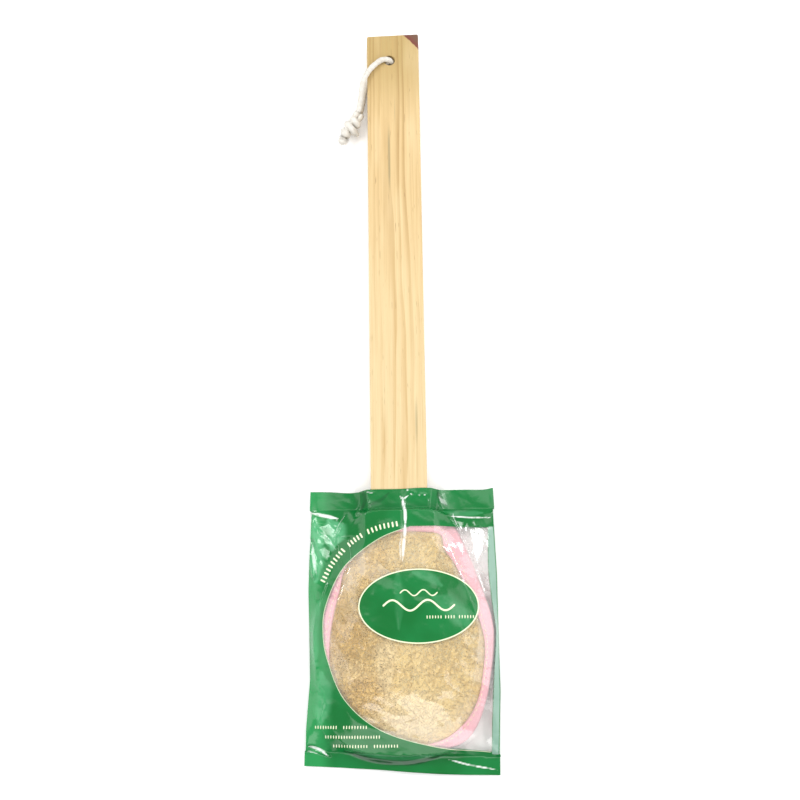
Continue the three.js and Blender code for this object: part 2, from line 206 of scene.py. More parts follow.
def facet_noise(x, y, cell, seed):
    """Flat triangular facets between random heights from -1 to 1, about one cell across."""
    table = np.random.default_rng(seed).uniform(-1, 1, (128, 128))
    u = (x + 0.45 * y + 3.0 * lattice_noise(x, y, 2 * cell, seed + 50)) / cell
    v = (y - 0.2 * x + 3.0 * lattice_noise(x, y, 2 * cell, seed + 51)) / cell
    i = np.floor(u).astype(int)
    j = np.floor(v).astype(int)
    fu = u - i
    fv = v - j
    a, b, c, d = (table[(i + p) % 128, (j + q) % 128] for p, q in ((0, 0), (1, 0), (0, 1), (1, 1)))
    near = a + (b - a) * fu + (c - a) * fv
    far = d + (c - d) * (1 - fu) + (b - d) * (1 - fv)
    return np.where(fu + fv < 1, near, far)


def segment_distance(x, y, start, end):
    """Distance from each point to a segment, and how far along it the nearest point is, from 0 to 1."""
    ax, ay = start
    bx, by = end
    dx, dy = bx - ax, by - ay
    along = clamp(((x - ax) * dx + (y - ay) * dy) / max(dx * dx + dy * dy, 1e-9))
    return np.hypot(x - ax - along * dx, y - ay - along * dy), along


def line_distance(x, y, line):
    """Distance from each point to a line of points."""
    nearest = np.full(np.shape(x), 1e9)
    for start, end in zip(line[:-1], line[1:]):
        nearest = np.minimum(nearest, segment_distance(x, y, start, end)[0])
    return nearest


def outline_distance(x, y, outline):
    """Distance to a closed outline, negative inside it."""
    inside = np.zeros(np.shape(x), bool)
    closed = np.vstack([outline, outline[:1]])
    for (ax, ay), (bx, by) in zip(closed[:-1], closed[1:]):
        if ay != by:
            crosses = (ay > y) != (by > y)
            inside ^= crosses & (x < ax + (y - ay) * (bx - ax) / (by - ay))
    return np.where(inside, -1, 1) * line_distance(x, y, closed)


def new_mesh(name, points, faces, material, body="scrubber"):
    """A smooth-shaded piece from points in millimetres and faces, riding on a CAD body."""
    mesh = bpy.data.meshes.new(name)
    mesh.from_pydata((np.asarray(points, float) * MM).tolist(), [], faces)
    mesh.validate()
    mesh.polygons.foreach_set("use_smooth", [True] * len(mesh.polygons))
    mesh.materials.append(material)
    piece = bpy.data.objects.new(name, mesh)
    bpy.context.scene.collection.objects.link(piece)
    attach(piece, body)
    return piece


def add_attribute(piece, name, values):
    attribute = piece.data.attributes.new(name, "FLOAT", "POINT")
    attribute.data.foreach_set("value", np.asarray(values, np.float32).ravel())


def grid_faces(rows, columns, wrap=False, flip=False, first=0):
    """Quads between rows of points; wrap joins the last column to the first."""
    faces = []
    for j in range(rows - 1):
        for i in range(columns if wrap else columns - 1):
            a = first + j * columns + i
            b = first + j * columns + (i + 1) % columns
            quad = (a, b, b + columns, a + columns)
            faces.append(quad[::-1] if flip else quad)
    return faces


# ---- the pad's shape ----------------------------------------------------------------------------


def polar_radius(outline):
    """A function from angle to radius about the pad's middle."""
    line = curve_through(outline, closed=True) - np.array(PAD_MIDDLE)
    angles = np.arctan2(line[:, 1], line[:, 0]) % FULL_TURN
    radii = np.hypot(line[:, 0], line[:, 1])
    order = np.argsort(angles)
    angles, radii = angles[order], radii[order]
    return lambda angle: np.interp(np.asarray(angle) % FULL_TURN, angles, radii, period=FULL_TURN)


rim_radius = polar_radius(PAD_RIM)
loofah_radius = polar_radius(LOOFAH_EDGE)


def polar(x, y):
    dx = np.asarray(x) - PAD_MIDDLE[0]
    dy = np.asarray(y) - PAD_MIDDLE[1]
    return np.arctan2(dy, dx), np.hypot(dx, dy)


def place(angle, radius):
    return PAD_MIDDLE[0] + radius * np.cos(angle), PAD_MIDDLE[1] + radius * np.sin(angle)


def pad_share(x, y):
    angle, radius = polar(x, y)
    return radius / rim_radius(angle)


def neck(x, y, inner=22, outer=34):
    """1 over the handle near where it enters the pad, 0 beside it and deep inside."""
    return smooth(outer, inner, np.abs(x)) * smooth(-200, -150, y)


def pad_top(x, y):
    share = pad_share(x, y)
    dome = CROWN - (CROWN - RIM_TOP) * share ** 2.8
    return np.maximum(dome, mix(RIM_TOP, NECK_TOP, neck(x, y)))


def loofah_top(x, y):
    """The loofah's surface: the pad's dome, lumpy, with a fold that runs down its left half."""
    fold = np.abs(x + 10 + 2.5 * np.sin((y + 180) / 16)) / 3.2
    below_oval = smooth(-150, -172, y) * smooth(-236, -214, y)
    lumps = 0.45 * lattice_noise(x, y, 17, 3) + 0.35 * lattice_noise(x, y, 8, 4)
    lumps = lumps + 0.16 * lattice_noise(x, y, 3.4, 5)
    edge = smooth(1.02, 0.9, pad_share(x, y))
    return pad_top(x, y) - 1.3 + (lumps - 0.8 * np.exp(-fold * fold) * below_oval) * edge


# ---- materials ----------------------------------------------------------------------------------


def srgb(red, green, blue):
    """A linear colour from 0-255 screen values."""
    def linear(value):
        share = value / 255
        return share / 12.92 if share <= 0.04045 else ((share + 0.055) / 1.055) ** 2.4
    return (linear(red), linear(green), linear(blue), 1)


class Look:
    """A material's node tree, with short ways to add and link nodes."""

    def __init__(self, name):
        self.material = bpy.data.materials.new(name)
        self.material.use_nodes = True
        self.tree = self.material.node_tree
        self.tree.nodes.clear()
        self.end = self.tree.nodes.new("ShaderNodeOutputMaterial")

    def put(self, socket, value):
        if isinstance(value, bpy.types.NodeSocket):
            self.tree.links.new(value, socket)
        else:
            socket.default_value = value

    def add(self, kind, inputs=(), **settings):
        node = self.tree.nodes.new("ShaderNode" + kind)
        for name, value in settings.items():
            setattr(node, name, value)
        for key, value in dict(inputs).items():
            self.put(node.inputs[key], value)
        return node

    def math(self, operation, a, b=0.0, c=0.0):
        return self.add("Math", {0: a, 1: b, 2: c}, operation=operation).outputs[0]

    def plus(self, a, b):
        return self.math("ADD", a, b)

    def minus(self, a, b):
        return self.math("SUBTRACT", a, b)

    def times(self, a, b):
        return self.math("MULTIPLY", a, b)

    def over(self, a, b):
        return self.math("DIVIDE", a, b)

    def ragged(self, noise, reach):
        """Noise centred on zero and scaled."""
        return self.times(self.minus(noise, 0.5), reach)

    def range(self, value, low, high, to_low=0.0, to_high=1.0):
        """value mapped smoothly from low..high to to_low..to_high."""
        inputs = {"Value": value, "From Min": low, "From Max": high, "To Min": to_low, "To Max": to_high}
        return self.add("MapRange", inputs, interpolation_type="SMOOTHSTEP").outputs[0]

    def blend(self, share, a, b, kind="MIX"):
        node = self.add("Mix", data_type="RGBA", blend_type=kind)
        self.put(node.inputs[0], share)
        self.put(node.inputs[6], a)
        self.put(node.inputs[7], b)
        return node.outputs[2]

    def place(self, scale=1, shift=(0, 0, 0)):
        """Object coordinates in metres, scaled alike or by axis."""
        coordinates = self.add("TexCoord").outputs["Object"]
        scale = scale if np.ndim(scale) else (scale, scale, scale)
        return self.add("Mapping", {"Vector": coordinates, "Scale": scale, "Location": shift}).outputs[0]

    def noise(self, scale, size=1.0, detail=3.0, roughness=0.55, shift=(0, 0, 0)):
        inputs = {"Vector": self.place(scale, shift), "Scale": size, "Detail": detail, "Roughness": roughness}
        return self.add("TexNoise", inputs).outputs[0]

    def attribute(self, name):
        return self.add("Attribute", attribute_name=name).outputs["Fac"]

    def bump(self, height, strength, distance):
        return self.add("Bump", {"Height": height, "Strength": strength, "Distance": distance}).outputs[0]

    def principled(self, **inputs):
        named = {name.replace("_", " "): value for name, value in inputs.items()}
        return self.add("BsdfPrincipled", named).outputs[0]

    def mix_shader(self, share, a, b):
        return self.add("MixShader", {0: share, 1: a, 2: b}).outputs[0]

    def finish(self, shader):
        self.put(self.end.inputs["Surface"], shader)
        return self.material

    def surface(self, **inputs):
        """The finished material from one principled shader."""
        return self.finish(self.principled(**inputs))


def pine_look():
    look = Look("pine")
    x, y, _ = look.add("SeparateXYZ", {0: look.place()}).outputs
    # Growth rings: long lines down the board, unevenly spaced, each with a sharp dark side.
    sway = look.noise((22, 5, 22), detail=2.0)
    sway_far = look.noise((8, 1.6, 8), detail=1.0, shift=(3, 1, 0))
    spacing = look.noise((52, 1.2, 52), detail=2.0, shift=(7, 2, 5))
    across = look.plus(look.times(x, 200.0), look.times(sway, 2.4))
    across = look.plus(across, look.times(sway_far, 3.4))
    across = look.plus(across, look.times(spacing, 5.0))
    ring = look.math("FRACT", across)
    late = look.times(look.range(ring, 0.3, 0.9), look.range(ring, 1.0, 0.93))
    strength = look.noise((85, 4, 60), detail=2.0, shift=(2, 8, 4))
    late = look.times(late, look.range(strength, 0.36, 0.66, 0.12, 1.0))
    fine = look.noise((2600, 26, 900), detail=4.0, roughness=0.7)
    streak = look.noise((620, 9, 300), detail=3.0, roughness=0.6, shift=(5, 2, 1))
    patch = look.noise((60, 11, 40), detail=2.0, shift=(1, 7, 2))

    honey = look.blend(look.range(y, 0.185, 0.25), srgb(216, 188, 138), srgb(184, 160, 106))
    pale = look.blend(look.range(y, -0.03, 0.19), srgb(222, 200, 155), honey)
    deep = look.blend(look.range(y, 0.0, 0.24), srgb(200, 168, 116), srgb(160, 128, 78))
    colour = look.blend(look.times(late, 0.72), pale, deep)
    colour = look.blend(look.range(streak, 0.48, 0.76, 0.0, 0.5), colour, srgb(188, 154, 100))
    colour = look.blend(look.range(patch, 0.5, 0.75, 0.0, 0.4), colour, srgb(232, 212, 168))
    colour = look.blend(look.range(fine, 0.35, 0.75, 0.18, 0.0), colour, srgb(160, 124, 76))
    # Short dark flecks, and grey-green streaks.
    fleck = look.noise((1500, 85, 500), detail=1.0, shift=(9, 4, 3))
    colour = look.blend(look.range(fleck, 0.70, 0.78, 0.0, 0.55), colour, srgb(132, 100, 64))
    for middle_x, low_y, high_y, half, strength in WOOD_STREAKS:
        wander = look.ragged(sway, 0.004)
        distance = look.math("ABSOLUTE", look.minus(look.plus(x, wander), middle_x))
        mask = look.times(look.range(distance, half, half * 0.2), look.range(y, low_y, low_y + 0.02))
        mask = look.times(mask, look.range(y, high_y, high_y - 0.02))
        colour = look.blend(look.times(mask, strength), colour, srgb(136, 130, 98))
    # The bark-brown corner at the hanging end, redder along its boundary.
    end_x = HANDLE["half_width"] * MM
    end_y = HANDLE["far_end"] * MM
    beyond_x = look.over(look.minus(end_x, x), KNOT_CORNER["along_end"] * MM)
    beyond_y = look.over(look.minus(end_y, y), KNOT_CORNER["down_side"] * MM)
    ragged = look.ragged(look.noise((260, 260, 120), detail=3.0), 0.22)
    corner = look.plus(look.plus(beyond_x, beyond_y), ragged)
    bark = look.blend(look.range(corner, 0.45, 0.92), srgb(112, 82, 66), srgb(118, 66, 56))
    colour = look.blend(look.range(corner, 1.04, 0.94), colour, bark)
    relief = look.plus(look.times(late, 0.5), look.times(fine, 0.8))
    return look.surface(
        Base_Color=colour, Roughness=look.range(fine, 0.3, 0.7, 0.5, 0.66), Specular_IOR_Level=0.32,
        Normal=look.bump(relief, 0.35, 0.0004))


def loofah_look(name, dark=0.0):
    """Dried sponge gourd: cream to tan by fibre, golden in patches, with small dark and light flecks, and
    painted shade in its pits.
    """
    look = Look(name)
    x, y, _ = look.add("SeparateXYZ", {0: look.place()}).outputs
    coarse = look.range(x, 0.006, -0.022)
    shade = look.attribute("shade")
    patch = look.noise(70, detail=3.0)
    fine = look.noise(1500, detail=4.0, roughness=0.7)
    cells = look.add("TexVoronoi", {"Vector": look.place(900), "Randomness": 1.0})
    tone = look.blend(look.range(shade, 0.0, 1.0), srgb(234, 208, 148), srgb(255, 246, 208))
    tone = look.blend(look.range(shade, -0.1, -0.4), tone, srgb(172, 138, 88))
    tone = look.blend(look.range(patch, 0.42, 0.68, 0.0, 0.4), tone, srgb(240, 212, 148))
    tone = look.blend(look.times(coarse, 0.40), tone, srgb(228, 190, 108))
    ragged = look.ragged(patch, 1.2)
    for area_x, area_y, half_x, half_y, strength, colour in LOOFAH_AREAS:
        off_x = look.over(look.minus(x, area_x), half_x)
        off_y = look.over(look.minus(y, area_y), half_y)
        squares = look.plus(look.math("POWER", off_x, 2.0), look.math("POWER", off_y, 2.0))
        reach = look.plus(look.math("SQRT", squares), ragged)
        tone = look.blend(look.range(reach, 1.25, 0.55, 0.0, strength), tone, srgb(*colour))
    tone = look.blend(look.range(fine, 0.3, 0.75, 0.25, 0.0), tone, srgb(196, 162, 108))
    fleck = look.noise((1050, 1050, 700), detail=1.5, roughness=0.5, shift=(3, 3, 3))
    fleck = look.math("MULTIPLY_ADD", coarse, 0.03, fleck)
    tone = look.blend(look.range(fleck, 0.62, 0.68, 0.0, 0.75), tone, srgb(138, 106, 62))
    glint = look.noise((1500, 1500, 1100), detail=1.5, roughness=0.5, shift=(8, 1, 6))
    tone = look.blend(look.range(glint, 0.60, 0.68, 0.0, 0.55), tone, srgb(255, 248, 220))
    # Painted shade: the pits between the fibres are coloured darker, as far as dark says.
    pit_shade = look.range(cells.outputs["Distance"], 0.08, 0.34, dark, 0.0)
    tone = look.blend(pit_shade, tone, srgb(150, 120, 74))
    relief = look.plus(fine, look.times(cells.outputs["Distance"], 0.6))
    return look.surface(
        Base_Color=tone, Roughness=0.9, Specular_IOR_Level=0.2, Sheen_Weight=0.15,
        Normal=look.bump(relief, 0.5, 0.0004))


def towelling_look(name, light, shadow, weave):
    """Soft knitted cloth: fine loops, cloudy tone and a pale sheen."""
    look = Look(name)
    loops = look.add("TexVoronoi", {"Vector": look.place(weave), "Randomness": 0.75})
    cloud = look.noise(45, detail=3.0)
    fuzz = look.noise(2300, detail=3.0, roughness=0.7)
    crest = look.range(loops.outputs["Distance"], 0.0, 0.75)
    tone = look.blend(look.range(crest, 0.0, 1.0, 0.0, 0.5), light, shadow)
    tone = look.blend(look.range(cloud, 0.4, 0.7, 0.0, 0.45), tone, shadow)
    relief = look.minus(look.times(fuzz, 0.4), crest)
    return look.surface(
        Base_Color=tone, Roughness=0.85, Specular_IOR_Level=0.2, Sheen_Weight=0.35, Sheen_Roughness=0.4,
        Normal=look.bump(relief, 0.45, 0.0003))


def foam_look():
    look = Look("foam")
    cells = look.add("TexVoronoi", {"Vector": look.place(900), "Randomness": 1.0})
    cloud = look.noise(60, detail=2.0)
    wall = look.range(cells.outputs["Distance"], 0.05, 0.45)
    tone = look.blend(wall, srgb(206, 190, 138), srgb(246, 236, 202))
    tone = look.blend(look.range(cloud, 0.4, 0.7, 0.0, 0.3), tone, srgb(236, 216, 160))
    return look.surface(
        Base_Color=tone, Roughness=0.95, Specular_IOR_Level=0.15,
        Normal=look.bump(cells.outputs["Distance"], 0.6, 0.0005))


def thread_look():
    look = Look("thread")
    ply = look.add("TexWave", {"Vector": look.place(), "Scale": 520.0, "Distortion": 1.5})
    tone = look.blend(ply.outputs["Fac"], srgb(236, 206, 178), srgb(255, 240, 222))
    return look.surface(
        Base_Color=tone, Roughness=0.7, Sheen_Weight=0.3, Normal=look.bump(ply.outputs["Fac"], 0.4, 0.0001))


def steel_look():
    look = Look("staple_steel")
    drawn = look.noise((400, 2400, 2400), detail=3.0)
    rust = look.noise(900, detail=2.0, shift=(2, 2, 2))
    tone = look.blend(look.range(rust, 0.62, 0.75, 0.0, 0.6), srgb(196, 197, 200), srgb(146, 112, 84))
    return look.surface(
        Base_Color=tone, Metallic=1.0, Roughness=look.range(drawn, 0.3, 0.7, 0.24, 0.46),
        Normal=look.bump(drawn, 0.2, 0.0001))


def cotton_look():
    look = Look("cotton_cord")
    fuzz = look.noise(2600, detail=4.0, roughness=0.75)
    cloud = look.noise(110, detail=2.0)
    groove = look.attribute("groove")
    tone = look.blend(look.range(cloud, 0.35, 0.7), srgb(226, 223, 216), srgb(214, 209, 199))
    # Painted shade: the braid's grooves are coloured darker.
    tone = look.blend(look.range(groove, 0.15, 0.85, 0.0, 0.25), tone, srgb(190, 183, 170))
    tone = look.blend(look.range(fuzz, 0.3, 0.7, 0.2, 0.0), tone, srgb(202, 195, 182))
    return look.surface(
        Base_Color=tone, Roughness=0.95, Specular_IOR_Level=0.15, Sheen_Weight=0.4,
        Normal=look.bump(fuzz, 0.7, 0.0003))


def film_shaders(look, green):
    """The print's glossy shader and the clear film's, as (printed, clear)."""
    crinkle = look.noise(260, detail=3.0)
    bend = look.bump(crinkle, 0.10, 0.0006)
    printed = look.principled(Base_Color=green, Roughness=0.15, Specular_IOR_Level=0.5, Normal=bend)
    # The mirror share rises towards grazing angles, alike from both sides of the film.
    facing = look.add("LayerWeight", {"Blend": 0.5, "Normal": bend}).outputs["Facing"]
    mirror = look.math("MULTIPLY_ADD", look.math("POWER", facing, 5.0), 0.93, 0.07)
    through = look.add("BsdfTransparent", {"Color": (0.985, 0.985, 0.98, 1)}).outputs[0]
    shine = look.add("BsdfGlossy", {"Color": (1, 1, 1, 1), "Roughness": 0.09, "Normal": bend}).outputs[0]
    glow = look.add("BsdfTranslucent", {"Color": (0.97, 0.96, 0.94, 1)}).outputs[0]
    milk = look.add("BsdfDiffuse", {"Color": (0.94, 0.93, 0.9, 1)}).outputs[0]
    milk = look.mix_shader(0.5, milk, glow)
    # It looks milkier where it stands off what is under it.
    cloud = look.noise(48, detail=3.0, shift=(4, 0, 0))
    veil = look.range(look.attribute("gap_mm"), 0.35, 3.4, 0.05, 0.36)
    hazy = look.times(veil, look.range(cloud, 0.40, 0.64, 0.4, 1.0))
    clear = look.mix_shader(hazy, through, milk)
    return printed, look.mix_shader(mirror, clear, shine)


def print_green(look, cloud):
    return look.blend(look.range(cloud, 0.35, 0.7), srgb(9, 107, 45), srgb(17, 119, 57))


def front_film_look():
    look = Look("printed_film")
    window = look.attribute("window_mm")
    oval = look.attribute("oval_mm")
    marks = look.attribute("marks_mm")
    mint = look.attribute("mint_mm")
    edge = 0.12
    in_oval = look.range(oval, edge, -edge)
    outside = look.range(window, -edge, edge)
    in_mint = look.range(mint, edge, -edge)
    ink = look.math("MAXIMUM", look.math("MAXIMUM", in_oval, outside), in_mint)
    cream_arc = look.times(outside, look.range(window, 0.55, 0.35, 0.0, 0.75))
    cream_arc = look.times(cream_arc, look.attribute("lined"))
    cream_oval = look.times(in_oval, look.range(oval, -0.95, -0.7))
    cloud = look.noise(34, detail=2.0)
    green = print_green(look, cloud)
    x = look.add("SeparateXYZ", {0: look.place()}).outputs[0]
    streaky = look.noise((60, 22, 60), detail=2.0, shift=(1, 5, 0))
    lit = look.times(look.range(x, -0.043, -0.055), look.range(streaky, 0.32, 0.52, 0.25, 0.9))
    green = look.blend(lit, green, srgb(42, 146, 80))
    green = look.blend(look.attribute("pale"), green, srgb(104, 190, 138))
    green = look.blend(look.attribute("valley"), green, srgb(10, 62, 30))
    green = look.blend(in_mint, green, srgb(132, 168, 150))
    cream = look.math("MAXIMUM", look.math("MAXIMUM", cream_arc, cream_oval), look.range(marks, edge, -edge))
    green = look.blend(cream, green, srgb(236, 240, 206))
    printed, clear = film_shaders(look, green)
    film = look.mix_shader(ink, clear, printed)
    # Painted highlights: the creases' lines are coloured white, standing for the light they catch.
    white = look.blend(cloud, srgb(255, 255, 255), srgb(244, 250, 246))
    crest = look.principled(Base_Color=white, Roughness=0.3)
    painted_highlight = look.range(look.attribute("crease_highlight"), 0.05, 0.95)
    return look.finish(look.mix_shader(painted_highlight, film, crest))


def back_film_look():
    """White inside; green outside, with a plain pale panel."""
    look = Look("printed_film_back")
    panel = look.range(look.attribute("panel_mm"), 0.12, -0.12)
    cloud = look.noise(34, detail=2.0)
    green = print_green(look, cloud)
    outer = look.blend(panel, green, srgb(238, 240, 232))
    inner = look.blend(look.range(cloud, 0.35, 0.7), srgb(250, 250, 248), srgb(236, 238, 236))
    inner = look.blend(look.range(look.attribute("window_mm"), -0.3, 0.3), inner, srgb(120, 178, 140))
    facing_in = look.add("NewGeometry").outputs["Backfacing"]
    tone = look.blend(facing_in, inner, outer)
    crinkle = look.noise(260, detail=3.0)
    return look.surface(
        Base_Color=tone, Roughness=0.2, Specular_IOR_Level=0.5, Normal=look.bump(crinkle, 0.1, 0.0006))


# ---- camera, lights and floor -------------------------------------------------------------------


def make_camera():
    lift = math.radians(CAMERA["elevation"])
    roll = math.radians(CAMERA["roll"])
    aim = Vector(CAMERA["aim"]) * MM
    back = Vector((0, -math.cos(lift), math.sin(lift)))
    across = Vector((1, 0, 0))
    upward = Vector((0, math.sin(lift), math.cos(lift)))
    right = across * math.cos(roll) + upward * math.sin(roll)
    up = upward * math.cos(roll) - across * math.sin(roll)
    camera = bpy.data.objects.new("camera", bpy.data.cameras.new("camera"))
    camera.data.lens = CAMERA["lens"]
    camera.data.sensor_width = 36
    camera.matrix_world = Matrix.Translation(aim + back * CAMERA["distance"] * MM) @ Matrix(
        (right, up, back)).transposed().to_4x4()
    bpy.context.scene.collection.objects.link(camera)
    bpy.context.scene.camera = camera


def add_light(name, location, aim, size, power):
    light = bpy.data.lights.new(name, "AREA")
    light.shape = "RECTANGLE"
    light.size, light.size_y = size
    light.energy = power
    lamp = bpy.data.objects.new(name, light)
    lamp.location = location
    lamp.rotation_euler = (Vector(aim) - Vector(location)).to_track_quat("-Z", "Y").to_euler()
    bpy.context.scene.collection.objects.link(lamp)


def make_studio():
    world = bpy.data.worlds.new("studio")
    world.use_nodes = True
    background = world.node_tree.nodes["Background"]
    background.inputs["Color"].default_value = (1, 1, 1, 1)
    background.inputs["Strength"].default_value = 0.40
    bpy.context.scene.world = world
    bpy.context.scene.view_settings.view_transform = "Standard"
    for light in LIGHTS:
        add_light(*light)
    floor_look = Look("floor")
    speck = floor_look.noise(40, detail=3.0)
    tone = floor_look.blend(floor_look.range(speck, 0.3, 0.7), (0.96, 0.96, 0.96, 1), (0.93, 0.93, 0.93, 1))
    material = floor_look.finish(floor_look.principled(
        Base_Color=tone, Roughness=0.9, Specular_IOR_Level=0.1,
        Emission_Color=(1, 1, 1, 1), Emission_Strength=0.12))
    mesh = bpy.data.meshes.new("floor")
    half = 3.0
    low = -0.0002
    mesh.from_pydata([(-half, -half, low), (half, -half, low), (half, half, low), (-half, half, low)], [],
                     [(0, 1, 2, 3)])
    mesh.materials.append(material)
    floor = bpy.data.objects.new("floor", mesh)
    bpy.context.scene.collection.objects.link(floor)


# ---- hanging cord -------------------------------------------------------------------------------


def braid_parts(route, diameter, first=0, sides=26, step=0.42):
    """Points, faces, groove depths and centre line of a round braided cord with domed ends."""
    line = curve_through(route, per_span=24)
    run = np.concatenate([[0], np.cumsum(np.linalg.norm(np.diff(line, axis=0), axis=1))])
    count = max(8, int(run[-1] / step))
    at = np.linspace(0, run[-1], count)
    line = np.stack([np.interp(at, run, line[:, k]) for k in range(3)], 1)
    tangent = np.gradient(line, axis=0)
    tangent /= np.linalg.norm(tangent, axis=1)[:, None]
    side = np.cross(tangent[0], (0.31, 0.17, 0.93))
    wide = []
    for t in tangent:
        side = unit(side - t * (side @ t))
        wide.append(side)
    wide = np.array(wide)
    deep = np.cross(tangent, wide)
    angle = np.linspace(0, FULL_TURN, sides, endpoint=False)[None, :]
    climb = FULL_TURN * at[:, None] / BRAID["pitch"]
    plaits = np.cos(BRAID["plaits"] * angle + climb) * np.cos(BRAID["plaits"] * angle - climb)
    from_end = np.minimum(at, at[-1] - at)[:, None]
    dome = np.sqrt(clamp(1 - (1 - clamp(from_end / (0.35 * diameter))) ** 2, 0.02))
    swell = 1 + 0.04 * np.sin(at * 0.9)[:, None]
    radius = diameter / 2 * (1 + BRAID["relief"] * plaits) * dome * swell
    outward = np.cos(angle)[..., None] * wide[:, None] + np.sin(angle)[..., None] * deep[:, None]
    points = (line[:, None] + radius[..., None] * outward).reshape(-1, 3)
    faces = grid_faces(count, sides, wrap=True, first=first)
    faces.append(tuple(first + k for k in reversed(range(sides))))
    faces.append(tuple(first + (count - 1) * sides + k for k in range(sides)))
    depths = (0.5 - 0.5 * plaits).ravel()
    return list(points), faces, list(depths), line


def cord_fuzz(lines, count, seed, reach=1.4):
    """Short stray cotton hairs that stand off a cord."""
    generator = np.random.default_rng(seed)
    points, faces = [], []
    for _ in range(count):
        line = lines[generator.integers(len(lines))]
        root = line[generator.integers(1, len(line) - 1)]
        out = unit(generator.normal(size=3))
        bend = generator.normal(size=3) * 0.5
        start = root + out * CORD_DIAMETER * 0.42
        spine = [start + out * reach * s * generator.uniform(0.7, 1.3) + bend * s * s for s in (0, 0.5, 1)]
        first = len(points)
        for j, p in enumerate(spine):
            width = 0.07 * (1 - 0.35 * j)
            wide = unit(np.cross(out, (0.2, 0.5, 0.84)))
            points.extend(ring_points(p, width, wide, np.cross(out, wide)))
        faces.extend(grid_faces(3, 3, wrap=True, first=first))
    return points, faces


def make_cord(material):
    """The hanging cord, its knot and its two frayed tails."""
    points, faces, depths, line = braid_parts(CORD_ROUTE, CORD_DIAMETER * 0.96)
    cord = new_mesh("hang_cord_rope", points, faces, material, "hang_loop")
    add_attribute(cord, "groove", depths)
    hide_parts("hang_cord")

    knot = make_knot(material)
    tails = [make_tail(name, route, material) for name, route in TAIL_ROUTES.items()]


def make_knot(material):
    """An overhand knot in the doubled cord: the pair goes in side by side and is wrapped round."""
    top = np.array([-25.2, 202.0, 7.0])
    end = np.array([-36.2, 184.2, 5.6])
    length = np.linalg.norm(end - top)
    axis = (end - top) / length
    wide = unit(np.cross(axis, (0, 0, 1)))
    deep = np.cross(wide, axis)
    routes = []
    for side in (-1, 1):
        pair = []
        for s in np.linspace(-0.06, 0.97, 8):
            twist = 0.35 + 0.9 * s
            apart = side * mix(2.0, 1.9, s)
            pair.append(top + axis * length * s + apart * (wide * math.cos(twist) + deep * math.sin(twist)))
        routes.append((pair, CORD_DIAMETER * 1.02))
    turns = []
    for s in np.linspace(0, 1, 34):
        angle = FULL_TURN * 2.3 * s + 0.6
        reach = mix(2.6, 3.4, math.sin(math.pi * s))
        along = mix(0.25, 0.90, s) * length + 1.0 * math.sin(angle)
        turns.append(top + axis * along + reach * (wide * math.cos(angle) + deep * math.sin(angle)))
    routes.append((turns, CORD_DIAMETER * 1.22))
    points, faces, depths, lines = [], [], [], []
    for route, diameter in routes:
        more = braid_parts(route, diameter, first=len(points))
        points.extend(more[0])
        faces.extend(more[1])
        depths.extend(more[2])
        lines.append(more[3])
    hairs, hair_faces = cord_fuzz(lines, 90, 21)
    first = len(points)
    points.extend(hairs)
    faces.extend(tuple(first + k for k in face) for face in hair_faces)
    depths.extend([0.1] * len(hairs))
    knot = new_mesh("hang_cord_knot_tied", points, faces, material, "hang_loop")
    add_attribute(knot, "groove", depths)
    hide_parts("hang_cord_knot")
    return knot


def make_tail(name, route, material):
    """A short cut end of the cord: the braid opens into a soft round tuft with a few longer wisps."""
    girth, hairs, wisps = TUFTS[name]
    points, faces, depths, line = braid_parts(route, girth * 0.8)
    generator = np.random.default_rng(len(name))
    tip = line[int(len(line) * 0.15)]
    way = unit(line[-1] - line[0])
    for hair in range(hairs):
        out = unit(generator.normal(size=3)) + way * 0.35
        reach = girth * generator.uniform(0.42, 0.62)
        if hair < wisps:
            out = way + generator.normal(size=3) * 0.16
            reach = girth * generator.uniform(0.9, 1.5)
        curl = generator.normal(size=3) * 0.5
        first = len(points)
        for s in (0, 0.35, 0.7, 1.0):
            p = tip + out * reach * (0.25 + 0.75 * s) + curl * s * s
            p[2] = max(p[2], 0.4)
            points.extend(ring_points(p, 0.16 * (1 - 0.5 * s), *np.eye(3)[[0, 2]]))
            depths.extend([0.15] * 3)
        faces.extend(grid_faces(4, 3, wrap=True, first=first))
    tail = new_mesh(name + "_frayed", points, faces, material, "hang_loop")
    add_attribute(tail, "groove", depths)
    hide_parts(name)
    return tail


# ---- loofah -------------------------------------------------------------------------------------


def polar_grid(radius, rings, steps):
    """Plan points of rings from the pad's middle out to radius(angle)."""
    angle = np.linspace(0, FULL_TURN, steps, endpoint=False)
    share = np.linspace(0.012, 1, rings)[:, None]
    x, y = place(angle[None, :], share * radius(angle)[None, :])
    return x, y, np.broadcast_to(share, x.shape)


def closed_layer(x, y, top, bottom):
    """Points and faces of a closed solid between two surfaces over a polar grid."""
    rings, steps = x.shape
    upper = grid_points(x, y, top)
    lower = grid_points(x, y, bottom)
    count = rings * steps
    faces = grid_faces(rings, steps, wrap=True, flip=True)
    faces += grid_faces(rings, steps, wrap=True, first=count)
    last = (rings - 1) * steps
    for i in range(steps):
        j = (i + 1) % steps
        faces.append((last + i, last + j, count + last + j, count + last + i)[::-1])
    faces.append(tuple(range(steps)))
    faces.append(tuple(count + k for k in reversed(range(steps))))
    return np.vstack([upper, lower]), faces


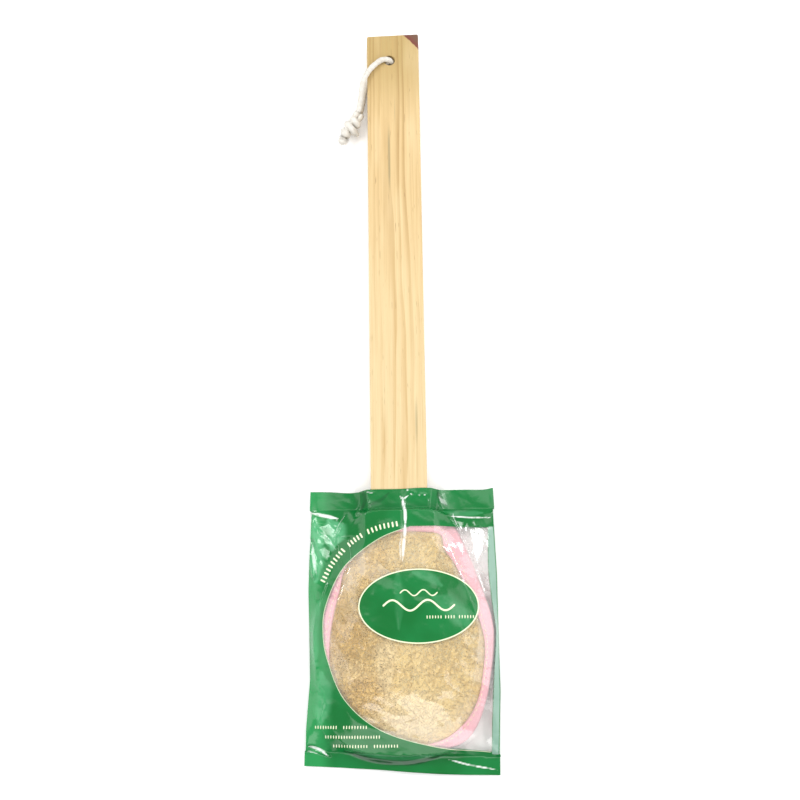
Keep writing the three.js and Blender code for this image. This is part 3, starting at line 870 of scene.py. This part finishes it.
def make_loofah_base(material):
    """The loofah's flattened body: a lumpy dome, closed underneath."""
    rings, steps = 96, 240
    x, y, share = polar_grid(lambda a: loofah_radius(a) + 2.5, rings, steps)
    top = loofah_top(x, y) + 0.12 * lattice_noise(x, y, 1.3, 8)
    bottom = top - LOOFAH_THICKNESS * smooth(1.0, 0.8, share) - 1.0
    over_handle = (np.abs(x) < CHANNEL["half_width"]) & (y > CHANNEL["end"])
    bottom = np.where(over_handle, np.maximum(bottom, HANDLE["top"] + 1.5), bottom)
    bottom = np.minimum(bottom, top - 0.6)
    points, faces = closed_layer(x, y, top, bottom)
    base = new_mesh("loofah_body", points, faces, material)
    add_attribute(base, "shade", np.full(len(points), 0.1))
    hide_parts("loofah_face")


def make_loofah_fibres(material, count=6400, seed=11):
    """The net of curved fibres that makes the loofah's face."""
    generator = np.random.default_rng(seed)
    rings = 5
    angle = generator.uniform(0, FULL_TURN, count)
    radius = np.sqrt(generator.uniform(0, 1, count)) * (loofah_radius(angle) + 0.8)
    x, y = place(angle, radius)
    heading = generator.uniform(0, FULL_TURN, count)
    coarse = smooth(0.0, -30.0, x) * smooth(-150, -185, y)
    bend = generator.normal(0, 0.22, count)
    length = generator.uniform(1.8, 5.4, count)
    thick = generator.uniform(0.12, 0.23, count) * (1 + 0.2 * coarse)
    lift = generator.uniform(0.0, 0.45, count)
    arch = generator.uniform(0.0, 0.35, count)
    shade = clamp(generator.normal(0.7, 0.25, count) - 0.12 * coarse)
    shade = np.where(generator.uniform(0, 1, count) < 0.025 + 0.04 * coarse, -0.3, shade)
    points = np.zeros((count, rings, 3, 3))
    px, py = x.copy(), y.copy()
    for j in range(rings):
        s = j / (rings - 1)
        turned = heading + bend * length * s
        if j:
            px = px + np.cos(turned) * length / (rings - 1)
            py = py + np.sin(turned) * length / (rings - 1)
        beyond = polar(px, py)
        limit = loofah_radius(beyond[0]) + 1.2
        qx, qy = place(beyond[0], np.minimum(beyond[1], limit))
        z = loofah_top(qx, qy) + lift + arch * math.sin(math.pi * s)
        slim = thick * (0.55 + 0.45 * math.sin(math.pi * s))
        for k in range(3):
            around = FULL_TURN * k / 3 + math.pi / 2
            points[:, j, k, 0] = qx - np.sin(turned) * slim * math.cos(around)
            points[:, j, k, 1] = qy + np.cos(turned) * slim * math.cos(around)
            points[:, j, k, 2] = z + slim * math.sin(around)
    faces = []
    for fibre in range(count):
        faces.extend(grid_faces(rings, 3, wrap=True, flip=True, first=fibre * rings * 3))
    fibres = new_mesh("loofah_fibres", points.reshape(-1, 3), faces, material)
    add_attribute(fibres, "shade", np.repeat(shade, rings * 3))


# ---- foam, backing cloth and binding ------------------------------------------------------------


def make_foam(material):
    """The foam core: it fills the pad under the loofah and is cut away over the handle."""
    rings, steps = 70, 200
    x, y, _ = polar_grid(lambda a: rim_radius(a) * 0.92, rings, steps)
    top = pad_top(x, y) - LOOFAH_THICKNESS - 2.4 + 0.15 * lattice_noise(x, y, 2.2, 31)
    top = np.maximum(top, BASE + 2.4)
    over_handle = (np.abs(x) < CHANNEL["half_width"]) & (y > CHANNEL["end"] + 0.2)
    bottom = np.where(over_handle, HANDLE["top"] + 0.4, BASE + 1.5)
    top = np.where(over_handle, np.maximum(top, HANDLE["top"] + 0.9), top)
    points, faces = closed_layer(x, y, top, bottom)
    foam = new_mesh("foam_filling", points, faces, material)
    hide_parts("foam_core")


def make_backing(material):
    """The cloth on the pad's back, pulled slightly in at the two staples."""
    rings, steps = 60, 220
    x, y, share = polar_grid(lambda a: rim_radius(a) * 0.97, rings, steps)
    z = BASE + 0.55 + 0.18 * lattice_noise(x, y, 11, 41) + 0.05 * lattice_noise(x, y, 3, 42)
    z += 1.6 * smooth(0.85, 1.0, share) * (1 - neck(x, y))
    points = grid_points(x, y, z)
    faces = grid_faces(rings, steps, wrap=True)
    cloth = new_mesh("backing_cloth_panel", points, faces, material)
    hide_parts("backing_cloth")


def binding_section(angle, across, front):
    """A point of the binding: across runs from its sewn inner edge (0) round the rim to its split (1)."""
    inner = loofah_radius(angle)
    outer = rim_radius(angle) + BINDING["wall"]
    roll = BINDING["roll"]
    flat_share = BINDING["flat_share"]
    on_flat = clamp(across / flat_share)
    round_it = clamp((across - flat_share) / (1 - flat_share)) * math.pi / 2
    rolled = outer - roll + roll * np.sin(round_it)
    radius = np.where(across < flat_share, mix(inner, outer - roll, on_flat), rolled)
    x, y = place(angle, radius)
    ix, iy = place(angle, np.minimum(radius, outer - roll))
    over_neck = smooth(28, 22, np.abs(x)) * smooth(-140, -120, y)
    if front:
        split = mix(SPLIT["side"], SPLIT["over_handle"], over_neck)
        crown = pad_top(ix, iy) + BINDING["lift"]
        hem = -1.5 * (1 - smooth(0.0, 0.05, across)) + 0.55 * np.sin(math.pi * clamp(on_flat * 1.05))
        crown = crown + hem
    else:
        split = mix(SPLIT["side"] - 0.3, SPLIT["under_handle"], over_neck)
        crown = BASE - 0.75 + 0.3 * np.sin(math.pi * on_flat)
    z = np.where(across < flat_share, crown, mix(split, crown, np.cos(round_it)))
    return x, y, z, on_flat


def make_binding(material):
    """The towelling strip that wraps the pad's rim: one band above, one below, split for the handle."""
    steps, rows = 560, 34
    angle = np.linspace(0, FULL_TURN, steps, endpoint=False)[None, :]
    points, faces = [], []
    for front in (True, False):
        across = np.linspace(0, 1, rows)[:, None]
        x, y, z, on_flat = binding_section(angle + 0 * across, across + 0 * angle, front)
        pucker = 0.26 * np.sin(angle * 74 + 3 * np.sin(angle * 9)) * (1 - 0.6 * on_flat)
        pucker = pucker + 0.3 * lattice_noise(angle * 46, across * 3 + 7, 1.0, 51)
        soft = 0.22 * lattice_noise(x, y, 5, 52) + 0.10 * lattice_noise(x, y, 1.7, 53)
        weight = smooth(0.02, 0.12, across) * smooth(1.0, 0.8, across)
        z = z + (pucker + soft) * weight * (1 if front else 0.4)
        first = len(points)
        points.extend(grid_points(x, y, z))
        faces.extend(grid_faces(rows, steps, wrap=True, flip=front, first=first))
    binding = new_mesh("edge_binding_strip", points, faces, material)
    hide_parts("edge_binding")


def stitch_line(inset):
    """Points along the binding where the stitches go, evenly spaced."""
    angle = np.linspace(0, FULL_TURN, 2000)
    radius = mix(loofah_radius(angle), rim_radius(angle), inset)
    x, y = place(angle, radius)
    run = np.concatenate([[0], np.cumsum(np.hypot(np.diff(x), np.diff(y)))])
    count = int(run[-1] / STITCH["pitch"])
    at = (np.arange(count) + 0.5) * run[-1] / count
    return np.interp(at, run, angle)


def make_stitches(material):
    """Lockstitches that pull the binding down, each a small bar of thread."""
    points, faces = [], []
    rings, sides = 7, 6
    for angle in stitch_line(STITCH["inset"]):
        across = np.array(STITCH["inset"] * BINDING["flat_share"])
        here, ahead = (
            np.array([float(v) for v in binding_section(np.array(turn), across, True)[:3]])
            for turn in (angle, angle + 0.01)
        )
        way = unit(ahead - here)
        wide = unit(np.cross(way, (0, 0, 1)))
        up = np.cross(wide, way)
        first = len(points)
        for j in range(rings):
            s = 2 * j / (rings - 1) - 1
            girth = STITCH["radius"] * math.sqrt(max(0.03, 1 - s ** 4))
            centre = here + way * s * STITCH["length"] / 2 + up * (0.42 - 0.4 * s * s)
            points.extend(ring_points(centre, girth, wide, up, sides))
        faces.extend(grid_faces(rings, sides, wrap=True, flip=True, first=first))
        faces.append(tuple(first + k for k in range(sides)))
        faces.append(tuple(first + (rings - 1) * sides + k for k in reversed(range(sides))))
    stitches = new_mesh("binding_stitches", points, faces, material)
    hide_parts("binding_thread")


# ---- pouch --------------------------------------------------------------------------------------

WINDOW_ARC = [
    (6.9, -102.3), (-15, -111.2), (-37.2, -128.6), (-48.7, -152.3), (-50.6, -170.2), (-47.4, -187.9),
    (-36.5, -212.3), (-13.9, -231.1), (20.4, -241.9), (57.5, -246.5),
]
MINT_EDGE = [
    (59.5, -102.0), (58.8, -130.9), (61.1, -158.2), (62.2, -169.8), (60.5, -192), (58.4, -225.7),
    (57.5, -246.5),
]
WINDOW_TOP = -101.6
OVAL = {"middle": (11.8, -154.0), "half": (39.4, 24.0)}
# Plain waves in the oval: height above its middle, half length, size and half width.
WAVES = [(0.4, 23, 3.4, 0.6), (8.4, 12, 1.9, 0.4)]
# Each tick's spacing, half height and half width.
ROW_TICK = (1.75, 0.75, 0.36)
ARC_TICK = (2.7, 1.3, 0.55)
# Rows of plain ticks stand where the print has words: (y, start x, end x) and lines of points.
TICK_ROWS = [
    (-229.4, -56.0, -42.5), (-229.4, -37.5, -23.0), (-235.5, -49.5, -14.8), (-241.3, -44.5, -23.0),
    (-241.3, -18.0, -3.4), (-161.2, 17.0, 26.0), (-161.2, 29.0, 34.5), (-161.2, 38.0, 49.0),
]
TICK_ARCS = [
    [(-51.2, -136.4), (-45.5, -126.2), (-37.6, -116.8)], [(-33.6, -113.2), (-29.5, -110.2), (-25.4, -107.8)],
    [(-20.6, -105.4), (-12.0, -102.4), (-1.8, -100.6)],
]
# Folds in the front film: a line of points, the width of the gentle flank on its left, and the height.
# The other flank is short and steep.
FOLDS = [
    ([(1.6, -79), (2.8, -92), (2.4, -106), (0.2, -128)], 2.4, 0.86),
    ([(2.6, -86), (5.2, -80.4), (6.6, -77.2)], 1.4, 0.42),
    ([(7.5, -77.4), (10.5, -79.4), (9.5, -82.4)], 1.2, 0.42),
    ([(13.2, -81.6), (15.2, -80.2), (18.4, -81.0)], 1.1, 0.4),
    ([(-22, -78.2), (-17.5, -78.9)], 1.1, 0.38),
    ([(-24.5, -76), (-25.5, -84), (-29, -93)], 2.4, 0.35),
    ([(30, -93), (25.5, -84), (23.8, -76)], 2.4, 0.35),
    ([(-43.5, -107), (-39, -99), (-35.5, -91)], 2.0, 0.5),
    ([(28, -246.0), (18, -248.6), (0, -251.2), (-20, -249.4), (-37, -244.8)], 2.4, 0.8),
    ([(-54, -226), (-50.5, -212), (-55.5, -203), (-64, -204)], 4.0, 0.6),
    ([(-61, -160), (-57.5, -185), (-55.5, -203)], 3.5, 0.6),
    ([(-62, -212), (-54, -226), (-47, -238)], 3.0, 0.6),
    ([(-2.2, -128), (-2.0, -150), (-0.5, -175)], 3.0, 0.3),
]
# Flat facets that the film is pulled into: corner points, and the slopes towards +X and +Y.
FACETS = [
    ([(-56.5, -100), (-47, -98.6), (-42, -103), (-44, -110), (-49, -106)], (0.29, -0.29)),
    ([(-55, -115.6), (-50, -113), (-45, -116.5), (-48, -124), (-52.5, -121)], (0.29, -0.29)),
    ([(-61, -108), (-58, -109), (-54, -121), (-57, -135), (-59, -133)], (0.29, -0.28)),
    ([(-42, -107), (-33, -109), (-31.5, -124), (-37, -129), (-41, -121)], (0.13, -0.16)),
    ([(35.5, -97), (44.0, -98), (42, -103.5), (38.5, -101.5)], (-0.30, -0.29)),
    ([(46, -103), (54, -101), (58, -104), (56.5, -118), (50.5, -129), (47.5, -116)], (-0.30, -0.28)),
    ([(-60.5, -241.0), (-56.5, -241.8), (-47, -247.6), (-57, -245.0)], (0.29, -0.36)),
]
# Painted highlights: lines painted white on the film, which stand for the highlights on its creases: points,
# half width and strength.
CREASE_HIGHLIGHTS = [
    ([(2.2, -82), (2.7, -87), (3.8, -93), (3.7, -103)], 1.15, 0.9),
    ([(3.7, -98), (3.4, -106), (2.4, -115), (1.6, -125)], 1.3, 0.6),
    ([(1.6, -108), (0.0, -114), (0.4, -124)], 0.7, 0.45),
    ([(0.2, -80.9), (2.4, -83.2), (6.3, -80.9)], 0.7, 0.75),
    ([(5.0, -76.9), (6.6, -77.7)], 0.5, 0.75),
    ([(7.2, -79.4), (8.8, -80.4)], 0.5, 0.75),
    ([(13.2, -80.7), (14.1, -81.1)], 0.5, 0.8),
    ([(16.6, -80.5), (17.8, -81.0)], 0.45, 0.8),
    ([(-21.5, -78.4), (-18.0, -78.8)], 0.4, 0.6),
    ([(-59.4, -90.6), (-52.0, -92.4), (-41.3, -95.0)], 1.5, 0.7),
    ([(-54.6, -102.6), (-49.0, -107.5), (-42.5, -116.0)], 0.5, 0.4),
    ([(-58.6, -112), (-57.6, -122), (-55.6, -132)], 1.5, 0.45),
    ([(-36.5, -92.8), (-40.5, -99.0), (-43.2, -106.0)], 0.4, 0.45),
    ([(33.6, -94.6), (46.0, -95.3), (62.2, -95.4)], 0.7, 0.75),
    ([(35.8, -91.8), (36.4, -96.0), (38.6, -101.5)], 0.5, 0.6),
    ([(-60.5, -241.6), (-54.0, -243.4), (-48.3, -247.6)], 1.0, 0.85),
    ([(-61.5, -244.4), (-55.0, -246.2)], 0.5, 0.6),
    ([(28.4, -250.6), (43.1, -254.5), (61.1, -257.9)], 0.7, 0.7),
]
# Places painted paler, which stand for soft reflections.
PALE = [
    ([(-52, -196), (-50, -205), (-50.5, -214), (-53.5, -228)], 5.5, 0.3),
    ([(-2.0, -130.5), (-1.0, -150), (-1.5, -168)], 3.0, 0.12),
    ([(8.6, -132.5), (18, -135), (26.7, -141)], 3.6, 0.22),
    ([(22.3, -148.5), (33, -155), (44.4, -166.6)], 7.0, 0.22),
    ([(-54, -150), (-57, -172), (-56, -190)], 3.4, 0.22),
    ([(-57, -95), (-55, -108), (-56, -136)], 5.0, 0.55),
    ([(-47, -96), (-41.5, -103), (-45, -115)], 6.5, 0.62),
    ([(56, -92), (40, -92.5), (30, -91.5)], 2.2, 0.25),
    ([(-30, -247.0), (0, -249.6), (24, -247.0)], 1.6, 0.28),
]
# Lines painted darker, which stand for shaded valleys.
VALLEYS = [
    ([(-38, -244.6), (-24, -249.4), (-8.4, -252.2), (7.7, -252.2), (20, -249.7), (28, -246.9)], 1.9, 0.85),
    ([(-24.5, -77.0), (-23.0, -83.0), (-25.5, -89.5)], 1.6, 0.55),
    ([(-20, -87), (-12, -83.4), (-7, -79)], 1.5, 0.4),
    ([(26, -76.5), (27, -81), (32, -87)], 1.6, 0.5),
    ([(-64, -256.0), (-40, -257.2), (-10, -258.4), (30, -261.0), (62, -262.6)], 1.6, 0.5),
]


def film_plan():
    """Plan positions of the pouch's grid, as two arrays of rows by columns."""
    a = np.linspace(0, 1, FILM_COLUMNS)[None, :]
    b = np.linspace(0, 1, FILM_ROWS)[:, None]
    left_y, left_x = np.array(POUCH_LEFT).T
    right_y, right_x = np.array(POUCH_RIGHT).T
    top_x, top_y = curve_through(POUCH_TOP).T
    bottom_x, bottom_y = curve_through(POUCH_BOTTOM).T
    y = mix(np.interp(mix(top_x[0], top_x[-1], a), top_x, top_y),
            np.interp(mix(bottom_x[0], bottom_x[-1], a), bottom_x, bottom_y), b)
    x = mix(np.interp(-y, -left_y, left_x), np.interp(-y, -right_y, right_x), a)
    return x, y


def side_height(y):
    """Height of the pouch's long edges."""
    return 4.6 + 0.8 * np.sin(y / 21)


def bottom_band_edge(x):
    """The bottom seal's upper edge."""
    return np.interp(x, *BOTTOM_BAND_EDGE)


def band_height(x, y):
    """Height of the sealed bands: up over the handle at the top, near the floor at the bottom."""
    beside = 2.2 + 6.0 * np.exp(-np.maximum(np.abs(x) - 20, 0) / 12)
    top = beside + 1.2 * lattice_noise(x, y, 23, 61)
    bottom = 2.0 + 1.2 * np.sin(x / 17 + 1.0) + 0.5 * lattice_noise(x, y, 15, 62)
    return np.where(y > POUCH_MIDDLE_Y, np.maximum(top, 1.2), np.maximum(bottom, 0.9))


def refine(coarse):
    """A grid of heights with a new point between each two."""
    rows, columns = coarse.shape
    fine = np.zeros((2 * rows - 1, 2 * columns - 1))
    fine[::2, ::2] = coarse
    fine[1::2, ::2] = (coarse[:-1] + coarse[1:]) / 2
    fine[:, 1::2] = (fine[:, :-2:2] + fine[:, 2::2]) / 2
    return fine


def pull_tight(obstacle, held, heights):
    """Heights of a film stretched over an obstacle; where held is true it stays at heights."""
    surface = None
    for step, sweeps in ((8, 500), (4, 250), (2, 160), (1, 90)):
        low = obstacle[::step, ::step]
        fixed = held[::step, ::step]
        target = heights[::step, ::step]
        surface = np.maximum(low, 5) if surface is None else refine(surface)
        for _ in range(sweeps):
            along = surface[:-2, 1:-1] + surface[2:, 1:-1]
            surface[1:-1, 1:-1] = (along + surface[1:-1, :-2] + surface[1:-1, 2:]) / 4
            surface = np.where(fixed, target, np.maximum(surface, low))
    return surface


def fold_relief(x, y):
    """Sharp creases where the film is gathered."""
    relief = np.zeros(x.shape)
    for points, half_width, height in FOLDS:
        line = curve_through(points, per_span=6)
        distance = line_distance(x, y, line)
        (ax, ay), (bx, by) = points[0], points[-1]
        on_left = (bx - ax) * (y - ay) - (by - ay) * (x - ax) > 0
        width = np.where(on_left, half_width, 0.3 * half_width)
        _, along = segment_distance(x, y, points[0], points[-1])
        ends = smooth(0, 0.15, along) * smooth(1, 0.85, along)
        relief += height * clamp(1 - distance / width) * (0.3 + 0.7 * ends)
    return relief


def lay_facets(x, y, surface):
    """The surface with each facet's patch turned into a plane."""
    for corners, (slope_x, slope_y) in FACETS:
        inside = outline_distance(x, y, np.array(corners, float))
        share = smooth(1.0, -0.8, inside)
        weight = share.sum()
        middle_x = (share * x).sum() / weight
        middle_y = (share * y).sum() / weight
        middle_z = (share * surface).sum() / weight
        plane = middle_z + slope_x * (x - middle_x) + slope_y * (y - middle_y)
        surface = mix(surface, plane, share)
    return surface


def streak_share(x, y, streaks, breaks):
    """From 0 to 1 along streaks that thin out towards their ends; breaks sets how much they break up."""
    rough = 1 + 2.2 * lattice_noise(x, y, 2.2, 75) + 1.2 * lattice_noise(x, y, 0.9, 76)
    broken = 1 - breaks + breaks * rough
    share = np.zeros(x.shape)
    for points, half_width, strength in streaks:
        distance = line_distance(x, y, curve_through(points, per_span=6))
        _, along = segment_distance(x, y, points[0], points[-1])
        width = half_width * (0.35 + 0.65 * smooth(0, 0.25, along) * smooth(1, 0.7, along))
        share = np.maximum(share, strength * smooth(1.25, 0.4, distance / width) * clamp(broken))
    return share


def crumple(x, y, seed=71):
    """Creased film: flat facets with sharp edges, large ones with smaller ones on them."""
    return 0.8 * facet_noise(x, y, 12, seed) + 0.3 * facet_noise(x, y, 5, seed + 1)


def front_heights(x, y):
    share = pad_share(x, y)
    over_band = smooth(0.74, 0.84, share)
    over_loofah = np.maximum(pad_top(x, y) - 0.1, loofah_top(x, y) + 1.75)
    over_pad = np.where(share < 1.03, mix(over_loofah, pad_top(x, y) + 2.2, over_band), 0)
    on_handle = HANDLE["top"] + FILM_ABOVE_HANDLE
    above = (np.abs(x) < HANDLE["half_width"] + 0.8) & (y > CHANNEL["end"] + 3)
    over_handle = np.where(above, on_handle, 0)
    obstacle = np.maximum(np.maximum(over_pad, over_handle), 0.9)
    in_top = y > TOP_BAND_EDGE
    in_bottom = y < bottom_band_edge(x)
    heights = band_height(x, y)
    raised = np.maximum(heights, on_handle * clamp((30 + 0.12 * (y + 83) - np.abs(x)) / 9))
    heights = np.where(in_top, raised, heights)
    held = in_top | in_bottom
    held[:, 0] = held[:, -1] = True
    side = side_height(y)
    heights[:, 0] = np.where(in_top[:, 0] | in_bottom[:, 0], heights[:, 0], side[:, 0])
    heights[:, -1] = np.where(in_top[:, -1] | in_bottom[:, -1], heights[:, -1], side[:, -1])
    surface = pull_tight(obstacle, held, heights)
    free = smooth(0.0, 3.0, surface - obstacle)
    near_edge = smooth(0, 5, np.minimum(x - x[:, :1], x[:, -1:] - x))
    taut = smooth(0.70, 1.0, share)
    surface += fold_relief(x, y) * near_edge
    loose = 0.3 + 0.6 * taut * free * mix(0.45, 1.0, smooth(-150, -110, y))
    beside = smooth(24, 30, np.abs(x))
    in_band = smooth(TOP_BAND_EDGE, mix(-82.0, -89.0, beside), y)
    calm = np.maximum(in_band, smooth(0, 2, bottom_band_edge(x) - y))
    surface += (1.1 + crumple(x, y)) * near_edge * loose * mix(1.0, 0.6, calm)
    surface = np.maximum(lay_facets(x, y, surface), obstacle + 0.1)
    gap = np.where(share < 1.0, surface - over_loofah, mix(1.5, 3.4, smooth(-175, -125, y)))
    upper = smooth(-150, -118, y) * smooth(36, -2, x)
    gap += upper * (1.0 + 2.6 * (facet_noise(x, y, 9, 81) > -0.1))
    return surface, gap


def back_heights(x, y):
    in_top = y > TOP_BAND_EDGE
    heights = band_height(x, y)
    under = np.where(np.abs(x) < CHANNEL["half_width"], HANDLE["underside"] - 0.4, heights - 0.25)
    at_top = mix(0.35, np.minimum(under, heights - 0.25), smooth(-104, -90, y))
    at_bottom = mix(0.35, heights - 0.25, smooth(-10, 2, bottom_band_edge(x) - y))
    side = side_height(y)
    from_side = np.minimum(x - x[:, :1], x[:, -1:] - x)
    rise = smooth(9, 0, from_side) ** 1.5
    middle = mix(0.35, side, rise)
    above_band = y > bottom_band_edge(x)
    upper = np.maximum(at_top, middle * ~in_top)
    surface = np.where(y > POUCH_MIDDLE_Y, upper, np.maximum(at_bottom, middle * above_band))
    # It stays under the pad's rim and rises steeply beside it.
    angle, radius = polar(x, y)
    beyond_rim = np.maximum(radius - rim_radius(angle) - 1.2, 0)
    return np.minimum(surface, 0.7 + 1.4 * beyond_rim)


def window_outline():
    arc = curve_through(WINDOW_ARC, per_span=8)
    mint = curve_through(MINT_EDGE, per_span=4)
    return np.vstack([arc, mint[::-1]])


def tick_distance(x, y, px, py, lean_x, lean_y, half_width):
    """Distance to a short bar centred on (px, py) that reaches (lean_x, lean_y) to each side."""
    ends = (px - lean_x, py - lean_y), (px + lean_x, py + lean_y)
    return segment_distance(x, y, *ends)[0] - half_width


def mark_distance(x, y):
    """Distance to the plain marks that stand where the print has words, negative inside."""
    nearest = np.full(x.shape, 1e9)
    pitch, tall, half = ROW_TICK
    for height, start, end in TICK_ROWS:
        for px in np.linspace(start, end, 1 + round((end - start) / pitch)):
            nearest = np.minimum(nearest, tick_distance(x, y, px, height, 0, tall, half))
    pitch, tall, half = ARC_TICK
    for points in TICK_ARCS:
        line = curve_through(points)
        steps = np.diff(line, axis=0)
        run = np.concatenate([[0], np.cumsum(np.hypot(*steps.T))])
        for at in np.linspace(0, run[-1], 1 + round(run[-1] / pitch)):
            px = np.interp(at, run, line[:, 0])
            py = np.interp(at, run, line[:, 1])
            way = steps[min(np.searchsorted(run, at), len(steps) - 1)]
            way = way / np.hypot(*way)
            nearest = np.minimum(nearest, tick_distance(x, y, px, py, -tall * way[1], tall * way[0], half))
    middle_x, middle_y = OVAL["middle"]
    for shift, reach, size, half_width in WAVES:
        across = np.linspace(-reach, reach, 60)
        heights = middle_y + shift + size * np.sin(across / reach * 2 * math.pi)
        wave = np.stack([middle_x + across, heights], 1)
        nearest = np.minimum(nearest, line_distance(x, y, wave) - half_width)
    return nearest


def make_front_film(material):
    x, y = film_plan()
    z, gap = front_heights(x, y)
    points = grid_points(x, y, z)
    faces = grid_faces(FILM_ROWS, FILM_COLUMNS, flip=True)
    film = new_mesh("pouch_front", points, faces, material)
    add_attribute(film, "window_mm", outline_distance(x, y, window_outline()))
    middle_x, middle_y = OVAL["middle"]
    half_x, half_y = OVAL["half"]
    reach = np.hypot((x - middle_x) / half_x, (y - middle_y) / half_y)
    slope = np.hypot((x - middle_x) / half_x ** 2, (y - middle_y) / half_y ** 2)
    add_attribute(film, "oval_mm", (reach - 1) * reach / np.maximum(slope, 1e-3))
    add_attribute(film, "marks_mm", mark_distance(x, y))
    add_attribute(film, "gap_mm", gap)
    add_attribute(film, "crease_highlight", streak_share(x, y, CREASE_HIGHLIGHTS, 0.25))
    add_attribute(film, "pale", streak_share(x, y, PALE, 0.08))
    add_attribute(film, "valley", streak_share(x, y, VALLEYS, 0.1))
    mint_x = np.interp(-y, [-p[1] for p in MINT_EDGE], [p[0] for p in MINT_EDGE])
    in_height = np.maximum(y - WINDOW_TOP, bottom_band_edge(x) + 1.5 - y)
    add_attribute(film, "mint_mm", np.maximum(np.maximum(mint_x - x, x - (x[:, -1:] - 0.6)), in_height))
    lined = smooth(6, 9, -y - 96) * smooth(57.2, 56.2, x) * np.where((x > 7.5) & (y > -110), 0, 1)
    add_attribute(film, "lined", lined)
    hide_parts("pouch_front_film")
    return z


def make_back_film(material, front):
    """The back film, everywhere a little under the front film's heights."""
    x, y = film_plan()
    z = np.minimum(back_heights(x, y), front - 0.12)
    points = grid_points(x, y, z)
    faces = grid_faces(FILM_ROWS, FILM_COLUMNS, flip=True)
    film = new_mesh("pouch_back", points, faces, material)
    panel = np.maximum(np.abs(x - 1) - 40, np.abs(y - POUCH_MIDDLE_Y) - 52)
    add_attribute(film, "panel_mm", panel)
    add_attribute(film, "window_mm", outline_distance(x, y, window_outline()))
    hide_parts("pouch_back_film")


# ---- building -----------------------------------------------------------------------------------


def dress_cad_nodes():
    pine = pine_look()
    steel = steel_look()
    looks = {"wooden_handle": pine, "neck_staple_left": steel, "neck_staple_right": steel}
    for name, material in looks.items():
        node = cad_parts[name]
        node.data.materials.clear()
        node.data.materials.append(material)


make_camera()
make_studio()
make_cord(cotton_look())
dress_cad_nodes()
make_loofah_base(loofah_look("loofah_body", 0.6))
make_loofah_fibres(loofah_look("loofah_fibres"))
make_foam(foam_look())
pink = towelling_look("pink_towelling", srgb(250, 198, 206), srgb(238, 172, 183), 1250)
make_backing(pink)
make_binding(pink)
make_stitches(thread_look())
front_z = make_front_film(front_film_look())
make_back_film(back_film_look(), front_z)
